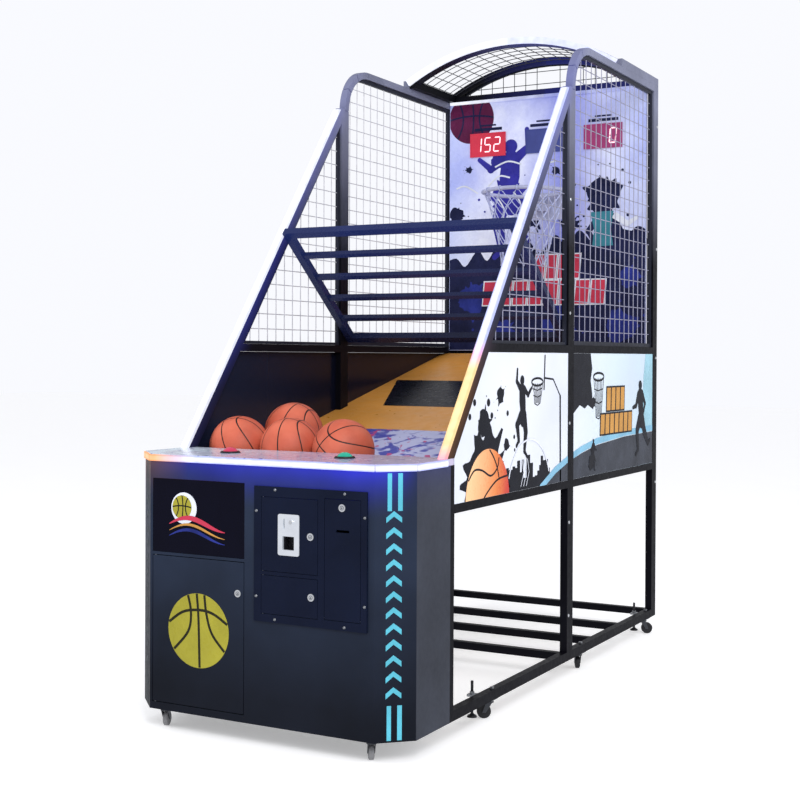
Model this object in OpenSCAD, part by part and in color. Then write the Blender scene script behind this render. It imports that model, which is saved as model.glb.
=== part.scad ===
// Street basketball machine: a coin cabinet with a ball tray and ramp, caged by
// tube and wire side frames under a vaulted roof, with a backboard and hoop at the rear.
// The base stands on z = 0, x is the width and the player stands at the -y end.

/* [Overall] */
// Width over the side frames
body_w = 1080; // [1060:1:1100]
// Length from the cabinet front to the rear posts
body_l = 2490; // [2480:1:2560]
// Height of the underside of the frame above the floor
base_z = 70; // [70:1:70]
// Height of the top of the side frames
side_top = 2540; // [2500:1:2600]
// Height of the crown of the roof arches
apex_z = 2720; // [2700:1:2740]

/* [Cabinet] */
// Depth of the coin cabinet
cab_depth = 330; // [330:1:331]
// Width of each corner bevel of the cabinet
bevel_x = 100; // [90:1:105]
// Depth of each corner bevel of the cabinet
bevel_y = 96; // [90:1:100]
// Thickness of the cabinet walls
wall = 12; // [12:1:14]
// Height of the control deck
deck_z = 940; // [940:1:944]
// Depth of the control deck
deck_depth = 350; // [349:1:350]

/* [Frame] */
// Width of the square frame tube
tube = 30; // [30:1:30]
// Depth of the rear posts and the roof arches
post_d = 60; // [56:1:60]
// Distance from the cabinet front to the middle posts
mid_y = 1370; // [1360:1:1380]
// Slope of the slanted front tubes from the floor, in degrees
slant_angle = 52.9; // [52.5:0.1:53.5]
// Outer corner radius of the rear hoop frames
hoop_r = 200; // [160:5:220]
// Underside of the lower side rail
low_rail_z = 757; // [755:1:757]
// Underside of the middle side rail
mid_rail_z = 1292; // [1292:1:1296]
// Outer radius of the roof arches
arch_r = 1000; // [980:5:1060]

/* [Wire mesh] */
// Distance between mesh wires
mesh_pitch = 60; // [50:1:80]
// Thickness of a mesh wire
wire = 4; // [3:0.5:5]
// Width of the flat border round each mesh panel
mesh_border = 18; // [12:1:24]

/* [Playfield] */
// Height of the low end of the ramp
ramp_z = 800.5; // [800:0.5:802]
// Rise of the ramp for each unit of run
ramp_slope = 0.239; // [0.225:0.001:0.24]
// Diameter of a ball
ball_d = 222; // [200:1:222]
// Height of the hoop
rim_z = 2045; // [1950:5:2100]
// Radius of the hoop to the middle of its rod
rim_r = 190; // [180:1:200]
// Distance from the cabinet front to the middle of the hoop
rim_y = 2180; // [2170:1:2200]

/* [Running gear] */
// Radius of a caster wheel
wheel_r = 25; // [25:1:25]
// Distance from the swivel axis to the axle
trail = 18; // [14:1:20]
// Height of the levelling feet above the floor
foot_gap = 24; // [10:1:24]

/* [Hidden] */
$fn = 64;
half_w = body_w / 2;
inner_w = half_w - tube;
seam = 0.4; // air between neighbouring pieces
hair = 0.05; // running clearance of a pin in its hole
eps = 1; // overrun of a cut
rail_h = 35;
rail_top = base_z + rail_h;
rear_y = body_l - post_d;
deck_t = 22;
cab_top = deck_z - deck_t;
front_post_back = 357;
rear_sec_y = mid_y + tube + seam;

// Slanted front tube: its rear edge starts at the deck and climbs to the middle post
slant_foot = 356;
slant_tube = 40;
slant_w = slant_tube / sin(slant_angle);
function slant_y(z) = slant_foot + (z - deck_z) / tan(slant_angle);
function slant_z(y) = deck_z + (y - slant_foot) * tan(slant_angle);

// Front openings of the cabinet, as [low x, low z, high x, high z]
service_hole = [-430, 95, -50, 598];
sign_hole = [-430, 608, -50, 858];
coin_hole = [14, 432, 401, 838];
// Coin door frame: its plate and its three door openings
coin_plate_box = [-8, 412, 417, 852];
coin_frame_t = 6;
coin_door_hole = [20, 577, 237, 819];
cash_door_hole = [20, 438, 237, 565];
ticket_door_hole = [261, 440, 395, 825];
door_gap = 2.5;
small_gap = 1.5;
door_t = 10;
small_door_t = 5;
hinge_in = 8.5;
small_hinge_in = 5;
pin_r = 3;
small_pin_r = 1.5;
pin_l = 8;
// Lock centres, as [x, z]
service_lock_at = [-75, 493];
coin_lock_at = [210, 699];
cash_lock_at = [213, 506];
ticket_lock_at = [327, 798];
lock_r = 9;
lock_flange_r = 12;
// Coin plate: x and z of its low corner, width and height
coin_face = [87, 633, 81, 133];
return_at = [139, 742];
return_r = 7;

// Push buttons on the deck
button_x = 230;
button_y = 170;
bezel_r = 36;
bezel_body_r = 30;
cap_r = 25;
dome_r = 32;

// Backboard and displays
board_y = 2415;
board_t = 12;
board_w = 508;
display_x = 298;
display_z = 2318;
display_size = [190, 8, 116];

// Guard rack: the middles of its top and bottom bars, as [y, z]
rack_top = [930, 1768];
rack_low = [1428, 1356];
rack_bars = 4;
rack_tube = 30;
rack_rod = 20;

// Roof arch circle, and how many lengths its light strip and the frame corners are made of
light_parts = 6;
corner_parts = 3;
arch_z0 = apex_z - arch_r;
arch_y = 1985;
roof_rail_w = 60;
roof_rail_h = 35;

// Balls, as [x, y]
ball_r = ball_d / 2;
ball_skin = 3.5;
ball_row_y = deck_depth + ball_r + 1;
ball_gap = 1.5;
left_ball_x = -(inner_w - ball_r - 2);
row_step = ball_d + ball_gap;
back_step = sqrt(pow(row_step, 2) - pow(row_step / 2, 2));
function ramp_at(y) = ramp_z + (y - deck_depth) * ramp_slope;
function ball_z(y) = ramp_at(y) + ball_r * sqrt(1 + pow(ramp_slope, 2));

// Casters, as [x, y, turn]: two under the cabinet and three under each side rail
caster_spots = [
    [-408, 45, 20], [408, 45, 35],
    [-514, 694, 160], [514, 694, 119],
    [-514, 1560, 330], [514, 1560, 29],
    [-514, 2388, 20], [514, 2388, 300]
];
// Levelling feet, as [x, y]
foot_spots = [[-495, 595], [495, 595], [-495, 2318], [495, 2318]];
stud_r = 5;
pad_r = 18;
stud_top = 150;
foot_tab_t = 8;
foot_tab_z = 97;

// ---- helpers ----

// Moves a shape drawn with y = 0 at the cabinet front into the machine's own frame
module from_front() {
    translate([0, -body_l / 2, 0]) children();
}

// Box between low and high values on each axis
module block(x, y, z) {
    translate([x[0], y[0], z[0]]) cube([x[1] - x[0], y[1] - y[0], z[1] - z[0]]);
}

// A shape on the right-hand side and its mirror image on the left
module both_sides() {
    children();
    mirror([1, 0, 0]) children();
}

// Extrudes a (y, z) outline along x
module across(x, t) {
    translate([x, 0, 0]) rotate([90, 0, 90]) linear_extrude(t) children();
}

// Extrudes an (x, z) outline along y
module along(y, t) {
    translate([0, y + t, 0]) rotate([90, 0, 0]) linear_extrude(t) children();
}

// Cylinder along y
module rod_y(x, y, z, r, l) {
    translate([x, y, z]) rotate([-90, 0, 0]) cylinder(r = r, h = l);
}

// Part of a flat ring between two angles, at most 90 degrees
module sector(r_out, r_in, a0, a1) {
    far = r_out * 1.5;
    intersection() {
        difference() {
            circle(r = r_out, $fn = 128);
            circle(r = r_in, $fn = 128);
        }
        polygon([[0, 0], far * [cos(a0), sin(a0)], far * [cos((a0 + a1) / 2), sin((a0 + a1) / 2)],
            far * [cos(a1), sin(a1)]]);
    }
}

// Flat rectangle given as [low u, low v, high u, high v], drawn in by a margin
module pane(b, margin = 0) {
    translate([b[0] + margin, b[1] + margin])
        square([b[2] - b[0] - 2 * margin, b[3] - b[1] - 2 * margin]);
}

// Square wires on a pitch, filling a rectangle of the (u, v) plane
module wire_grid(u0, v0, u1, v1) {
    u_count = round((u1 - u0) / mesh_pitch);
    v_count = round((v1 - v0) / mesh_pitch);
    for (i = [1 : u_count - 1])
        translate([u0 + i * (u1 - u0) / u_count - wire / 2, v0]) square([wire, v1 - v0]);
    for (j = [1 : v_count - 1])
        translate([u0, v0 + j * (v1 - v0) / v_count - wire / 2]) square([u1 - u0, wire]);
}

// ---- cabinet ----

// Plan outline of the cabinet, drawn in by a wall thickness
module cabinet_plan(inset, back) {
    k = inset * tan(22.5);
    w = half_w - inset;
    polygon([
        [-w, back], [-w, bevel_y + k], [-(half_w - bevel_x - k), inset],
        [half_w - bevel_x - k, inset], [w, bevel_y + k], [w, back]
    ]);
}

module cabinet_shell() from_front() color("#22242c") {
    difference() {
        translate([0, 0, base_z]) linear_extrude(cab_top - base_z) cabinet_plan(0, cab_depth);
        translate([0, 0, base_z + wall]) linear_extrude(cab_top)
            cabinet_plan(wall, cab_depth - wall);
        along(-eps, wall + 2 * eps) {
            pane(service_hole);
            pane(sign_hole);
            pane(coin_hole);
        }
    }
}

module control_deck() from_front() color("#d9d6e4") {
    difference() {
        union() {
            translate([0, 0, cab_top]) linear_extrude(deck_t) cabinet_plan(0, deck_depth);
            block([-inner_w + 1, inner_w - 1], [deck_depth - wall, deck_depth], [ramp_z + 4, cab_top]);
        }
        for (s = [-1, 1])
            translate([s * button_x, button_y, 0])
                cylinder(r = bezel_body_r + seam, h = deck_z + eps);
    }
}

module bezel(x) {
    translate([x, button_y, 0]) difference() {
        union() {
            translate([0, 0, deck_z]) cylinder(r1 = bezel_r, r2 = bezel_r - 4, h = 6);
            translate([0, 0, deck_z - 60]) cylinder(r = bezel_body_r, h = 60);
        }
        translate([0, 0, deck_z - 56]) cylinder(r = cap_r + hair, h = 80);
    }
}

module button_bezels() from_front() color("#202024") {
    for (s = [-1, 1])
        bezel(s * button_x);
}

// Domed cap of a push button
module button_cap(x) {
    translate([x, button_y, 0]) {
        translate([0, 0, deck_z - 48]) cylinder(r = cap_r, h = 56);
        translate([0, 0, deck_z + 8]) intersection() {
            translate([0, 0, -sqrt(pow(dome_r, 2) - pow(cap_r, 2))]) sphere(r = dome_r);
            cylinder(r = cap_r, h = dome_r);
        }
    }
}

module red_button() from_front() color("#c8304a") button_cap(-button_x);

module green_button() from_front() color("#16a07c") button_cap(button_x);

module sign_panel() from_front() color("#0c0c10") {
    along(1, 8) pane(sign_hole, 1);
}

// ---- doors ----

// Door leaf that fills a hole, with a lock hole and a blind hole for each hinge pin
module door_leaf(hole, gap, y, t, lock_at, pin_x, pins_z, r) {
    difference() {
        along(y, t) pane(hole, gap);
        rod_y(lock_at[0], y - eps, lock_at[1], lock_r + hair, t + 2 * eps);
        for (z = pins_z)
            translate([pin_x, y + t / 2, z - pin_l]) cylinder(r = r + hair, h = 2 * pin_l);
    }
}

// Cylinder lock: flange, barrel, cam and keyway, turning about y
module lock_body(at, y, t) {
    difference() {
        union() {
            rod_y(at[0], y - 3, at[1], lock_flange_r, 2.7);
            rod_y(at[0], y - 1, at[1], lock_r, t + 13);
            block([at[0] - 6, at[0] + 6], [y + t + 8, y + t + 11], [at[1] - 6, at[1] + 18]);
        }
        block([at[0] - 1, at[0] + 1], [y - 4, y + 4], [at[1] - 5, at[1] + 5]);
    }
}

module service_door() from_front() color("#1f2129") {
    door_leaf(service_hole, door_gap, 0, door_t, service_lock_at, service_hole[0] + door_gap + hinge_in,
        [service_hole[1] + door_gap, service_hole[3] - door_gap], pin_r);
}

module service_lock() from_front() color("silver") lock_body(service_lock_at, 0, door_t);

module coin_door_frame() from_front() color("#1a1b22") {
    along(-coin_frame_t, coin_frame_t) difference() {
        pane(coin_plate_box);
        pane(coin_door_hole);
        pane(cash_door_hole);
        pane(ticket_door_hole);
    }
}

module coin_door() from_front() color("#1f2129") {
    difference() {
        door_leaf(coin_door_hole, small_gap, -coin_frame_t, small_door_t, coin_lock_at,
            coin_door_hole[0] + small_gap + small_hinge_in,
            [coin_door_hole[1] + small_gap, coin_door_hole[3] - small_gap], small_pin_r);
        along(-coin_frame_t - eps, small_door_t + 2 * eps)
            translate([coin_face[0] + 8, coin_face[1] + 10]) square([coin_face[2] - 16, coin_face[3] - 20]);
    }
}

module coin_lock() from_front() color("silver") lock_body(coin_lock_at, -coin_frame_t, small_door_t);

// Chrome coin plate: slot, return button hole and reject cup
module coin_plate() from_front() color("#d8dade") {
    y = -coin_frame_t - 3.2;
    x = coin_face[0];
    z = coin_face[1];
    face_r = 7;
    difference() {
        union() {
            along(y, 3) translate([x + face_r, z + face_r]) offset(r = face_r)
                square([coin_face[2] - 2 * face_r, coin_face[3] - 2 * face_r]);
            along(y + 3, small_door_t) translate([x + 9, z + 11])
                square([coin_face[2] - 18, coin_face[3] - 22]);
        }
        block([x + 21, x + 26], [y - eps, y + 20], [z + 86, z + 118]);
        rod_y(return_at[0], y - eps, return_at[1], return_r + hair, 20);
        block([x + 18, x + 62], [y - eps, y + 20], [z + 18, z + 62]);
    }
}

module coin_return_button() from_front() color("#b8bcc4") {
    rod_y(return_at[0], -coin_frame_t - 9, return_at[1], return_r, 20);
}

// Coin acceptor behind the coin plate, with its reject chute
module coin_mechanism() from_front() color("#30343c") {
    x = [coin_face[0], coin_face[0] + coin_face[2]];
    difference() {
        block(x, [0.5, 62], [coin_face[1] + 2, coin_face[1] + 131]);
        block([x[0] + 18, x[1] - 18], [0, 30], [coin_face[1] + 12, coin_face[1] + 62]);
        rod_y(return_at[0], 0, return_at[1], return_r + 2, 20);
        block([x[0] + 20, x[0] + 27], [0, 40], [coin_face[1] + 84, coin_face[1] + 120]);
    }
}

module cash_door() from_front() color("#1f2129") {
    door_leaf(cash_door_hole, small_gap, -coin_frame_t, small_door_t, cash_lock_at,
        cash_door_hole[0] + small_gap + small_hinge_in,
        [cash_door_hole[1] + small_gap, cash_door_hole[3] - small_gap], small_pin_r);
}

module cash_lock() from_front() color("silver") lock_body(cash_lock_at, -coin_frame_t, small_door_t);

// Open-topped steel box that the coins drop into
module cash_box() from_front() color("#8f949c") {
    difference() {
        block([36, 196], [22, 222], [446, 560]);
        block([38, 194], [24, 220], [448, 561]);
    }
    block([30, 202], [22, 222], [wall + base_z + 348, 445.6]);
}

// Ticket door, hinged along its lower edge
module ticket_door() from_front() color("#1f2129") {
    b = ticket_door_hole;
    y = -coin_frame_t;
    difference() {
        along(y, small_door_t) pane(b, small_gap);
        rod_y(ticket_lock_at[0], y - eps, ticket_lock_at[1], lock_r + hair, small_door_t + 2 * eps);
        block([305, 353], [y - eps, 0], [720, 728]);
        for (x = [b[0] + small_gap, b[2] - small_gap])
            translate([x - pin_l, y + small_door_t / 2, b[1] + small_gap + small_hinge_in])
                rotate([0, 90, 0]) cylinder(r = small_pin_r + hair, h = 2 * pin_l);
    }
}

module ticket_lock() from_front() color("silver") lock_body(ticket_lock_at, -coin_frame_t, small_door_t);

// Ticket dispenser on its shelf, with an open feed throat
module ticket_dispenser() from_front() color("#2c2f36") {
    difference() {
        block([286, 372], [22, 172], [650, 752]);
        block([302, 356], [21, 140], [716, 732]);
    }
    block([270, 388], [22, cab_depth - wall - seam], [640, 649.6]);
}

// ---- controls and electronics ----

// Control board, power supply and loudspeaker, on the inside of the cabinet
module electronics() from_front() color("#2f6b3c") {
    back = cab_depth - wall;
    block([-320, -80], [back - 22, back - seam], [330, 500]);
    block([-380, -180], [170, 285], [base_z + wall + seam, base_z + wall + 55]);
    difference() {
        rod_y(110, back - 60, 240, 65, 60 - seam);
        rod_y(110, back - 61, 240, 52, 25);
    }
}

// Mains inlet with an open socket, on the back of the cabinet
module power_inlet() from_front() color("#101014") {
    difference() {
        block([-330, -270], [cab_depth + 0.2, cab_depth + 24], [150, 200]);
        block([-314, -286], [cab_depth + 8, cab_depth + 25], [166, 184]);
    }
}

// ---- frames ----

// One side frame on the +x side, as welded square tubes
module side_frame() {
    x = inner_w;
    // base rails of the front and rear sections
    block([x, half_w], [cab_depth + seam, mid_y + tube], [base_z, rail_top]);
    block([x, half_w], [rear_sec_y, body_l], [base_z, rail_top]);
    // front post, middle posts and rear post
    block([x, half_w], [cab_depth + seam, front_post_back], [rail_top + 0.2, cab_top - seam]);
    block([x, half_w], [mid_y, mid_y + tube], [rail_top + 0.2, slant_z(mid_y) + slant_w * tan(slant_angle)]);
    block([x, half_w], [rear_sec_y, rear_sec_y + tube], [rail_top + 0.2, side_top - hoop_r]);
    block([x, half_w], [rear_y, body_l], [rail_top + 0.2, side_top - tube - 0.2]);
    // bent corner and top rail of the hoop
    translate([x, rear_sec_y + hoop_r, side_top - hoop_r]) rotate([90, 0, 90])
        for (k = [0 : corner_parts - 1])
            linear_extrude(tube) sector(hoop_r, hoop_r - tube, 90 + (k + 0.02) * 90 / corner_parts,
                90 + (k + 0.98) * 90 / corner_parts);
    block([x, half_w], [rear_sec_y + hoop_r, body_l], [side_top - tube, side_top]);
    // lower and middle rails
    for (z = [low_rail_z, mid_rail_z])
        block([x, half_w], [rear_sec_y + tube + 0.2, rear_y - 0.2], [z, z + tube]);
    block([x, half_w], [front_post_back + 0.2, mid_y - 0.2], [low_rail_z, low_rail_z + tube]);
    across(x, tube) polygon([
        [slant_y(mid_rail_z) + 0.3, mid_rail_z], [mid_y - 0.2, mid_rail_z],
        [mid_y - 0.2, mid_rail_z + tube], [slant_y(mid_rail_z + tube) + 0.3, mid_rail_z + tube]
    ]);
    // slanted front tube
    across(x, tube) polygon([
        [slant_foot - slant_w, deck_z], [slant_foot, deck_z],
        [mid_y - 0.2, slant_z(mid_y - 0.2)], [mid_y - 0.2, slant_z(mid_y - 0.2 + slant_w)]
    ]);
}

module side_frames() from_front() color("#1b1c22") {
    both_sides() side_frame();
}

// Bars that tie the two side frames together
module cross_members() from_front() color("#1b1c22") {
    x = [-inner_w + 0.2, inner_w - 0.2];
    // four base bars
    for (y = [mid_y, 1711, 2049, body_l - tube])
        block(x, [y, y + tube], [base_z, base_z + tube]);
    // bars under the ramp
    for (y = [mid_y, 1950])
        block(x, [y, y + tube], [ramp_at(y) - 12 - 2 - tube, ramp_at(y) - 12 - 2]);
    // rear bars behind the backboard
    for (z = [low_rail_z, mid_rail_z - 5, 1800, side_top - tube])
        block(x, [rear_y, rear_y + tube], [z, z + tube]);
}

// Sloping rack of bars that stops short throws
module guard_rack() from_front() color("#1d2036") {
    run = rack_low[0] - rack_top[0];
    drop = rack_top[1] - rack_low[1];
    tilt = atan(drop / run);
    length = sqrt(run * run + drop * drop);
    x = inner_w - 0.5;
    translate([0, rack_top[0], rack_top[1]]) rotate([-tilt, 0, 0]) {
        half = rack_tube / 2;
        // the two side bars and the wide top and bottom bars
        both_sides() block([x - rack_tube, x], [half + 0.2, length - half - 0.2], [-half, half]);
        block([-x, x], [-half, half], [-half, half]);
        block([-x, x], [length - half, length + half], [-half, half]);
        // the thin bars between them
        for (k = [1 : rack_bars])
            translate([0, k * length / (rack_bars + 1), 0])
                block([-x + rack_tube + 0.2, x - rack_tube - 0.2], [-rack_rod / 2, rack_rod / 2],
                    [-rack_rod / 2, rack_rod / 2]);
    }
}

// Part of a roof arch ring, cut off level with the side frames
module arch_ring(r_out, r_in) {
    intersection() {
        translate([0, arch_z0]) difference() {
            circle(r = r_out, $fn = 128);
            circle(r = r_in, $fn = 128);
        }
        translate([-half_w, side_top + 0.3]) square([body_w, apex_z]);
    }
}

module roof_frame() from_front() color("#20222c") {
    rail = [half_w - roof_rail_w, side_top + 0.3, half_w, side_top + 0.3 + roof_rail_h];
    // two arches with a foot at each end
    for (y = [arch_y, rear_y])
        along(y, post_d) {
            arch_ring(arch_r, arch_r - tube);
            both_sides() pane(rail);
        }
    // side rails between the feet
    both_sides() along(arch_y + post_d + 0.3, rear_y - arch_y - post_d - 0.6) pane(rail);
    // header over the backboard
    x = half_w - roof_rail_w - 2;
    block([-x, x], [rear_y - 14, rear_y - 0.3], [side_top + 1, side_top + 28]);
}

// ---- lights ----

// Glowing strip on the front of a slanted tube
module slant_light() {
    t = 12 / sin(slant_angle);
    y0 = slant_foot - slant_w - 0.3;
    top = slant_z(mid_y - 0.2 + slant_w) - 8;
    across(inner_w, tube) polygon([
        [y0 - t, deck_z + 0.3], [y0, deck_z + 0.3],
        [slant_y(top) - slant_w - 0.3, top], [slant_y(top) - slant_w - 0.3 - t, top]
    ]);
}

module light_strips() from_front() color("#f4f6ff") {
    z = [deck_z - 24, deck_z - 2];
    t = 6;
    front = half_w - bevel_x;
    // front edge, bevels and sides of the deck
    block([-front, front], [-t, -0.2], z);
    both_sides() {
        bevel_l = sqrt(bevel_x * bevel_x + bevel_y * bevel_y);
        translate([front, 0, 0]) rotate([0, 0, atan(bevel_y / bevel_x)])
            block([2.6, bevel_l - 2.6], [-t, -0.2], z);
        block([half_w + 0.2, half_w + t], [bevel_y + 0.4, 300], z);
        slant_light();
    }
    // front of the roof arch
    spread = acos((side_top + 8 - arch_z0) / (arch_r - tube));
    for (k = [0 : light_parts - 1])
        along(arch_y - 14, 13.7) translate([0, arch_z0])
            sector(arch_r - 1, arch_r - tube + 1, 90 - spread + (k + 0.003) * 2 * spread / light_parts,
                90 - spread + (k + 0.997) * 2 * spread / light_parts);
    // under the header
    block([-board_w + 6, board_w - 6], [board_y - 14, board_y - 0.5], [side_top - 14, side_top - 1]);
}

// ---- panels and mesh ----

// Outline of the front side panel: a trapezium behind the slanted tube
module front_panel_outline(z0, z1, gap) {
    y0 = front_post_back + gap;
    knee = max(z0, slant_z(y0 - gap));
    polygon(concat(
        knee > z0 ? [[y0, z0]] : [],
        [[slant_y(knee) + 2 * gap, knee], [slant_y(z1) + 2 * gap, z1], [mid_y - gap, z1], [mid_y - gap, z0]]
    ));
}

module side_panels() from_front() color("#e6e8f2") {
    z0 = low_rail_z + tube + 0.5;
    z1 = mid_rail_z - 0.5;
    both_sides() {
        across(half_w - 5, 4) front_panel_outline(z0, z1, 0.5);
        across(half_w - 5, 4) pane([rear_sec_y + tube + 0.5, z0, rear_y - 0.5, z1]);
    }
}

// Inside outline of the rear hoop, drawn in by an inset
module hoop_outline(inset) {
    y0 = rear_sec_y + tube + inset;
    y1 = rear_y - inset;
    z0 = mid_rail_z + tube + inset;
    z1 = side_top - tube - inset;
    r = hoop_r - tube - inset;
    difference() {
        pane([y0, z0, y1, z1]);
        translate([y0 - eps, z1 - r]) square([r + eps, r + eps]);
    }
    intersection() {
        translate([y0 + r, z1 - r]) circle(r = r);
        translate([y0, z1 - r]) square([r, r]);
    }
}

// Inside outline of the front mesh, a triangle behind the slanted tube
module triangle_outline(inset) {
    z0 = mid_rail_z + tube + inset;
    y1 = mid_y - inset;
    lean = inset / sin(slant_angle);
    polygon([[slant_y(z0) + lean, z0], [y1, z0], [y1, slant_z(y1 - lean)]]);
}

module mesh_panel(t_border) {
    across(half_w - tube / 2 - t_border / 2, t_border) difference() {
        children(0);
        children(1);
    }
    across(half_w - tube / 2 - wire / 2, wire) intersection() {
        children(0);
        children(2);
    }
}

module side_mesh() from_front() color("#9aa0ac") both_sides() {
    z0 = mid_rail_z + tube;
    mesh_panel(14) {
        hoop_outline(0.5);
        hoop_outline(mesh_border);
        wire_grid(rear_sec_y + tube, z0, rear_y, side_top - tube);
    }
    mesh_panel(14) {
        triangle_outline(0.5);
        triangle_outline(mesh_border - 6);
        wire_grid(slant_y(z0), z0, mid_y, slant_z(mid_y));
    }
}

// Roof vault as flat strips of mesh, and the half-moon over the backboard
module roof_mesh() from_front() color("#9aa0ac") {
    r = arch_r - tube / 2;
    y0 = arch_y + post_d + 0.5;
    y1 = rear_y - 0.5;
    strips = 10;
    step = 2 * asin((half_w - roof_rail_w) / r) / strips;
    w = 2 * r * sin(step / 2) - 0.4;
    for (k = [0 : strips - 1])
        translate([0, 0, arch_z0]) rotate([0, (k + 0.5 - strips / 2) * step, 0])
            translate([0, 0, r * cos(step / 2)]) linear_extrude(wire) difference() {
                pane([-w / 2, y0, w / 2, y1]);
                for (i = [0, 1], j = [0 : 6])
                    translate([-w / 2 + wire + i * (w - wire) / 2, y0 + wire + j * (y1 - y0 - wire) / 7])
                        square([(w - wire) / 2 - wire, (y1 - y0 - wire) / 7 - wire]);
            }
    half = half_w - roof_rail_w - 2;
    along(rear_y + 28, wire) difference() {
        intersection() {
            translate([0, arch_z0]) circle(r = arch_r - tube - 0.6, $fn = 128);
            pane([-half, side_top + 0.5, half, apex_z]);
        }
        intersection() {
            translate([0, arch_z0]) circle(r = arch_r - tube - 6, $fn = 128);
            pane([-half + 6, side_top + 6, half - 6, apex_z]);
            for (i = [-8 : 7], j = [0 : 2])
                translate([i * mesh_pitch + wire / 2, side_top + 6 + j * mesh_pitch])
                    square(mesh_pitch - wire);
        }
    }
}

// ---- target ----

module backboard() from_front() color("#dfe2f0") {
    block([-board_w, board_w], [board_y, board_y + board_t], [mid_rail_z + 15, side_top - 1]);
}

// Three counters, each a dark window in a shallow bezel
module displays() from_front() color("#3a0d18") {
    s = display_size;
    for (x = [-display_x, 0, display_x])
        difference() {
            block([x - s[0] / 2, x + s[0] / 2], [board_y - s[1] - 0.2, board_y - 0.2],
                [display_z - s[2] / 2, display_z + s[2] / 2]);
            block([x - s[0] / 2 + 6, x + s[0] / 2 - 6], [board_y - s[1] - 1, board_y - s[1] + 1.5],
                [display_z - s[2] / 2 + 6, display_z + s[2] / 2 - 6]);
        }
}

// Hoop ring with its arms, back plate and ball sensor
module hoop() from_front() color("#e8e8f0") {
    rod = 9;
    translate([0, rim_y, rim_z]) rotate_extrude() translate([rim_r, 0]) circle(r = rod);
    for (x = [-70, 70])
        block([x - 6, x + 6], [rim_y + 172, board_y - 5], [rim_z - 8, rim_z + 6]);
    block([-95, 95], [board_y - 5.2, board_y - 0.2], [rim_z - 110, rim_z + 20]);
    block([-30, 30], [board_y - 40, board_y - 5], [rim_z - 70, rim_z - 40]);
}

// Plain closed solid in the net's place, open at both ends
module net() from_front() color("#f4f4f8") {
    top = rim_z - 9.5;
    h = 330;
    translate([0, rim_y, top - h]) difference() {
        cylinder(r1 = 118, r2 = rim_r - 4, h = h);
        translate([0, 0, -0.1]) cylinder(r1 = 114, r2 = rim_r - 8, h = h + 0.2);
    }
}

// Sloping board that returns the balls, notched round the posts
module playfield_ramp() from_front() color("#c08a3c") {
    wide = half_w - 6;
    narrow = inner_w - 1;
    tilt = atan(ramp_slope);
    k = 1 / cos(tilt);
    end = (board_y - 9 - deck_depth) * k;
    post0 = (mid_y - 5 - deck_depth) * k;
    post1 = (rear_sec_y + tube + 4 - deck_depth) * k;
    front1 = (front_post_back + 4 - deck_depth) * k;
    translate([0, deck_depth + 1, ramp_z]) rotate([tilt, 0, 0]) translate([0, 0, -12])
        linear_extrude(12) both_sides() polygon([
            [0, 0], [narrow, 0], [narrow, front1], [wide, front1], [wide, post0], [narrow, post0],
            [narrow, post1], [wide, post1], [wide, end], [0, end]
        ]);
}

// ---- loose balls ----

module ball(x, y) {
    translate([x, y, ball_z(y)]) difference() {
        sphere(r = ball_r, $fn = 96);
        sphere(r = ball_r - ball_skin, $fn = 96);
    }
}

module ball_left() from_front() color("#d9613f") ball(left_ball_x, ball_row_y);

module ball_middle() from_front() color("#d9613f") ball(left_ball_x + row_step, ball_row_y);

module ball_right() from_front() color("#d9613f") ball(left_ball_x + 2 * row_step, ball_row_y);

module ball_back() from_front() color("#d9613f")
    ball(left_ball_x + row_step / 2, ball_row_y + back_step);

// ---- running gear and hardware ----

crown_z = 56;
crown_t = 4;
king_r = 5;
axle_r = 3;
wheel_w = 18;
leg_t = 2.5;
leg_x = wheel_w / 2 + 1;

// Places a caster piece drawn about its swivel axis, trailing towards +y
module at_caster(k) {
    s = caster_spots[k];
    from_front() translate([s[0], s[1], 0]) rotate([0, 0, s[2]]) children();
}

// Swivelling fork with its kingpin and axle
module caster_fork(k) at_caster(k) color("#3a3c44") {
    translate([0, 0, crown_z]) cylinder(r = 17, h = crown_t);
    translate([0, 0, crown_z + crown_t - 0.5]) cylinder(r = king_r, h = 7.5);
    for (s = [-1, 1])
        translate([s > 0 ? leg_x : -leg_x - leg_t, 0, 0]) rotate([90, 0, 90]) linear_extrude(leg_t)
            polygon([[-11, crown_z + 1], [11, crown_z + 1], [trail + 6, wheel_r - 4], [trail - 6, wheel_r - 4]]);
    translate([-leg_x - leg_t, trail, wheel_r]) rotate([0, 90, 0])
        cylinder(r = axle_r, h = 2 * (leg_x + leg_t));
}

module caster_wheel(k) at_caster(k) color("#2a2c32") {
    translate([-wheel_w / 2, trail, wheel_r]) rotate([0, 90, 0]) difference() {
        union() {
            translate([0, 0, 2]) cylinder(r = wheel_r, h = wheel_w - 4);
            cylinder(r1 = wheel_r - 4, r2 = wheel_r, h = 2);
            translate([0, 0, wheel_w - 2]) cylinder(r1 = wheel_r, r2 = wheel_r - 4, h = 2);
        }
        translate([0, 0, -eps]) cylinder(r = axle_r + hair, h = wheel_w + 2 * eps);
    }
}

// Swivel plate under the frame, with a bearing hole for the kingpin
module caster_plate(k) at_caster(k) {
    rotate([0, 0, -caster_spots[k][2]]) difference() {
        block([-24, 24], [-28, 28], [base_z - 3.2, base_z - 0.2]);
        translate([0, 0, base_z - 4]) cylinder(r = king_r + 1, h = 5);
    }
    translate([0, 0, crown_z + crown_t + 0.4]) difference() {
        cylinder(r = 13, h = base_z - 3.4 - crown_z - crown_t - 0.4);
        translate([0, 0, -eps]) cylinder(r = king_r + hair, h = 10);
    }
}

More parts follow.
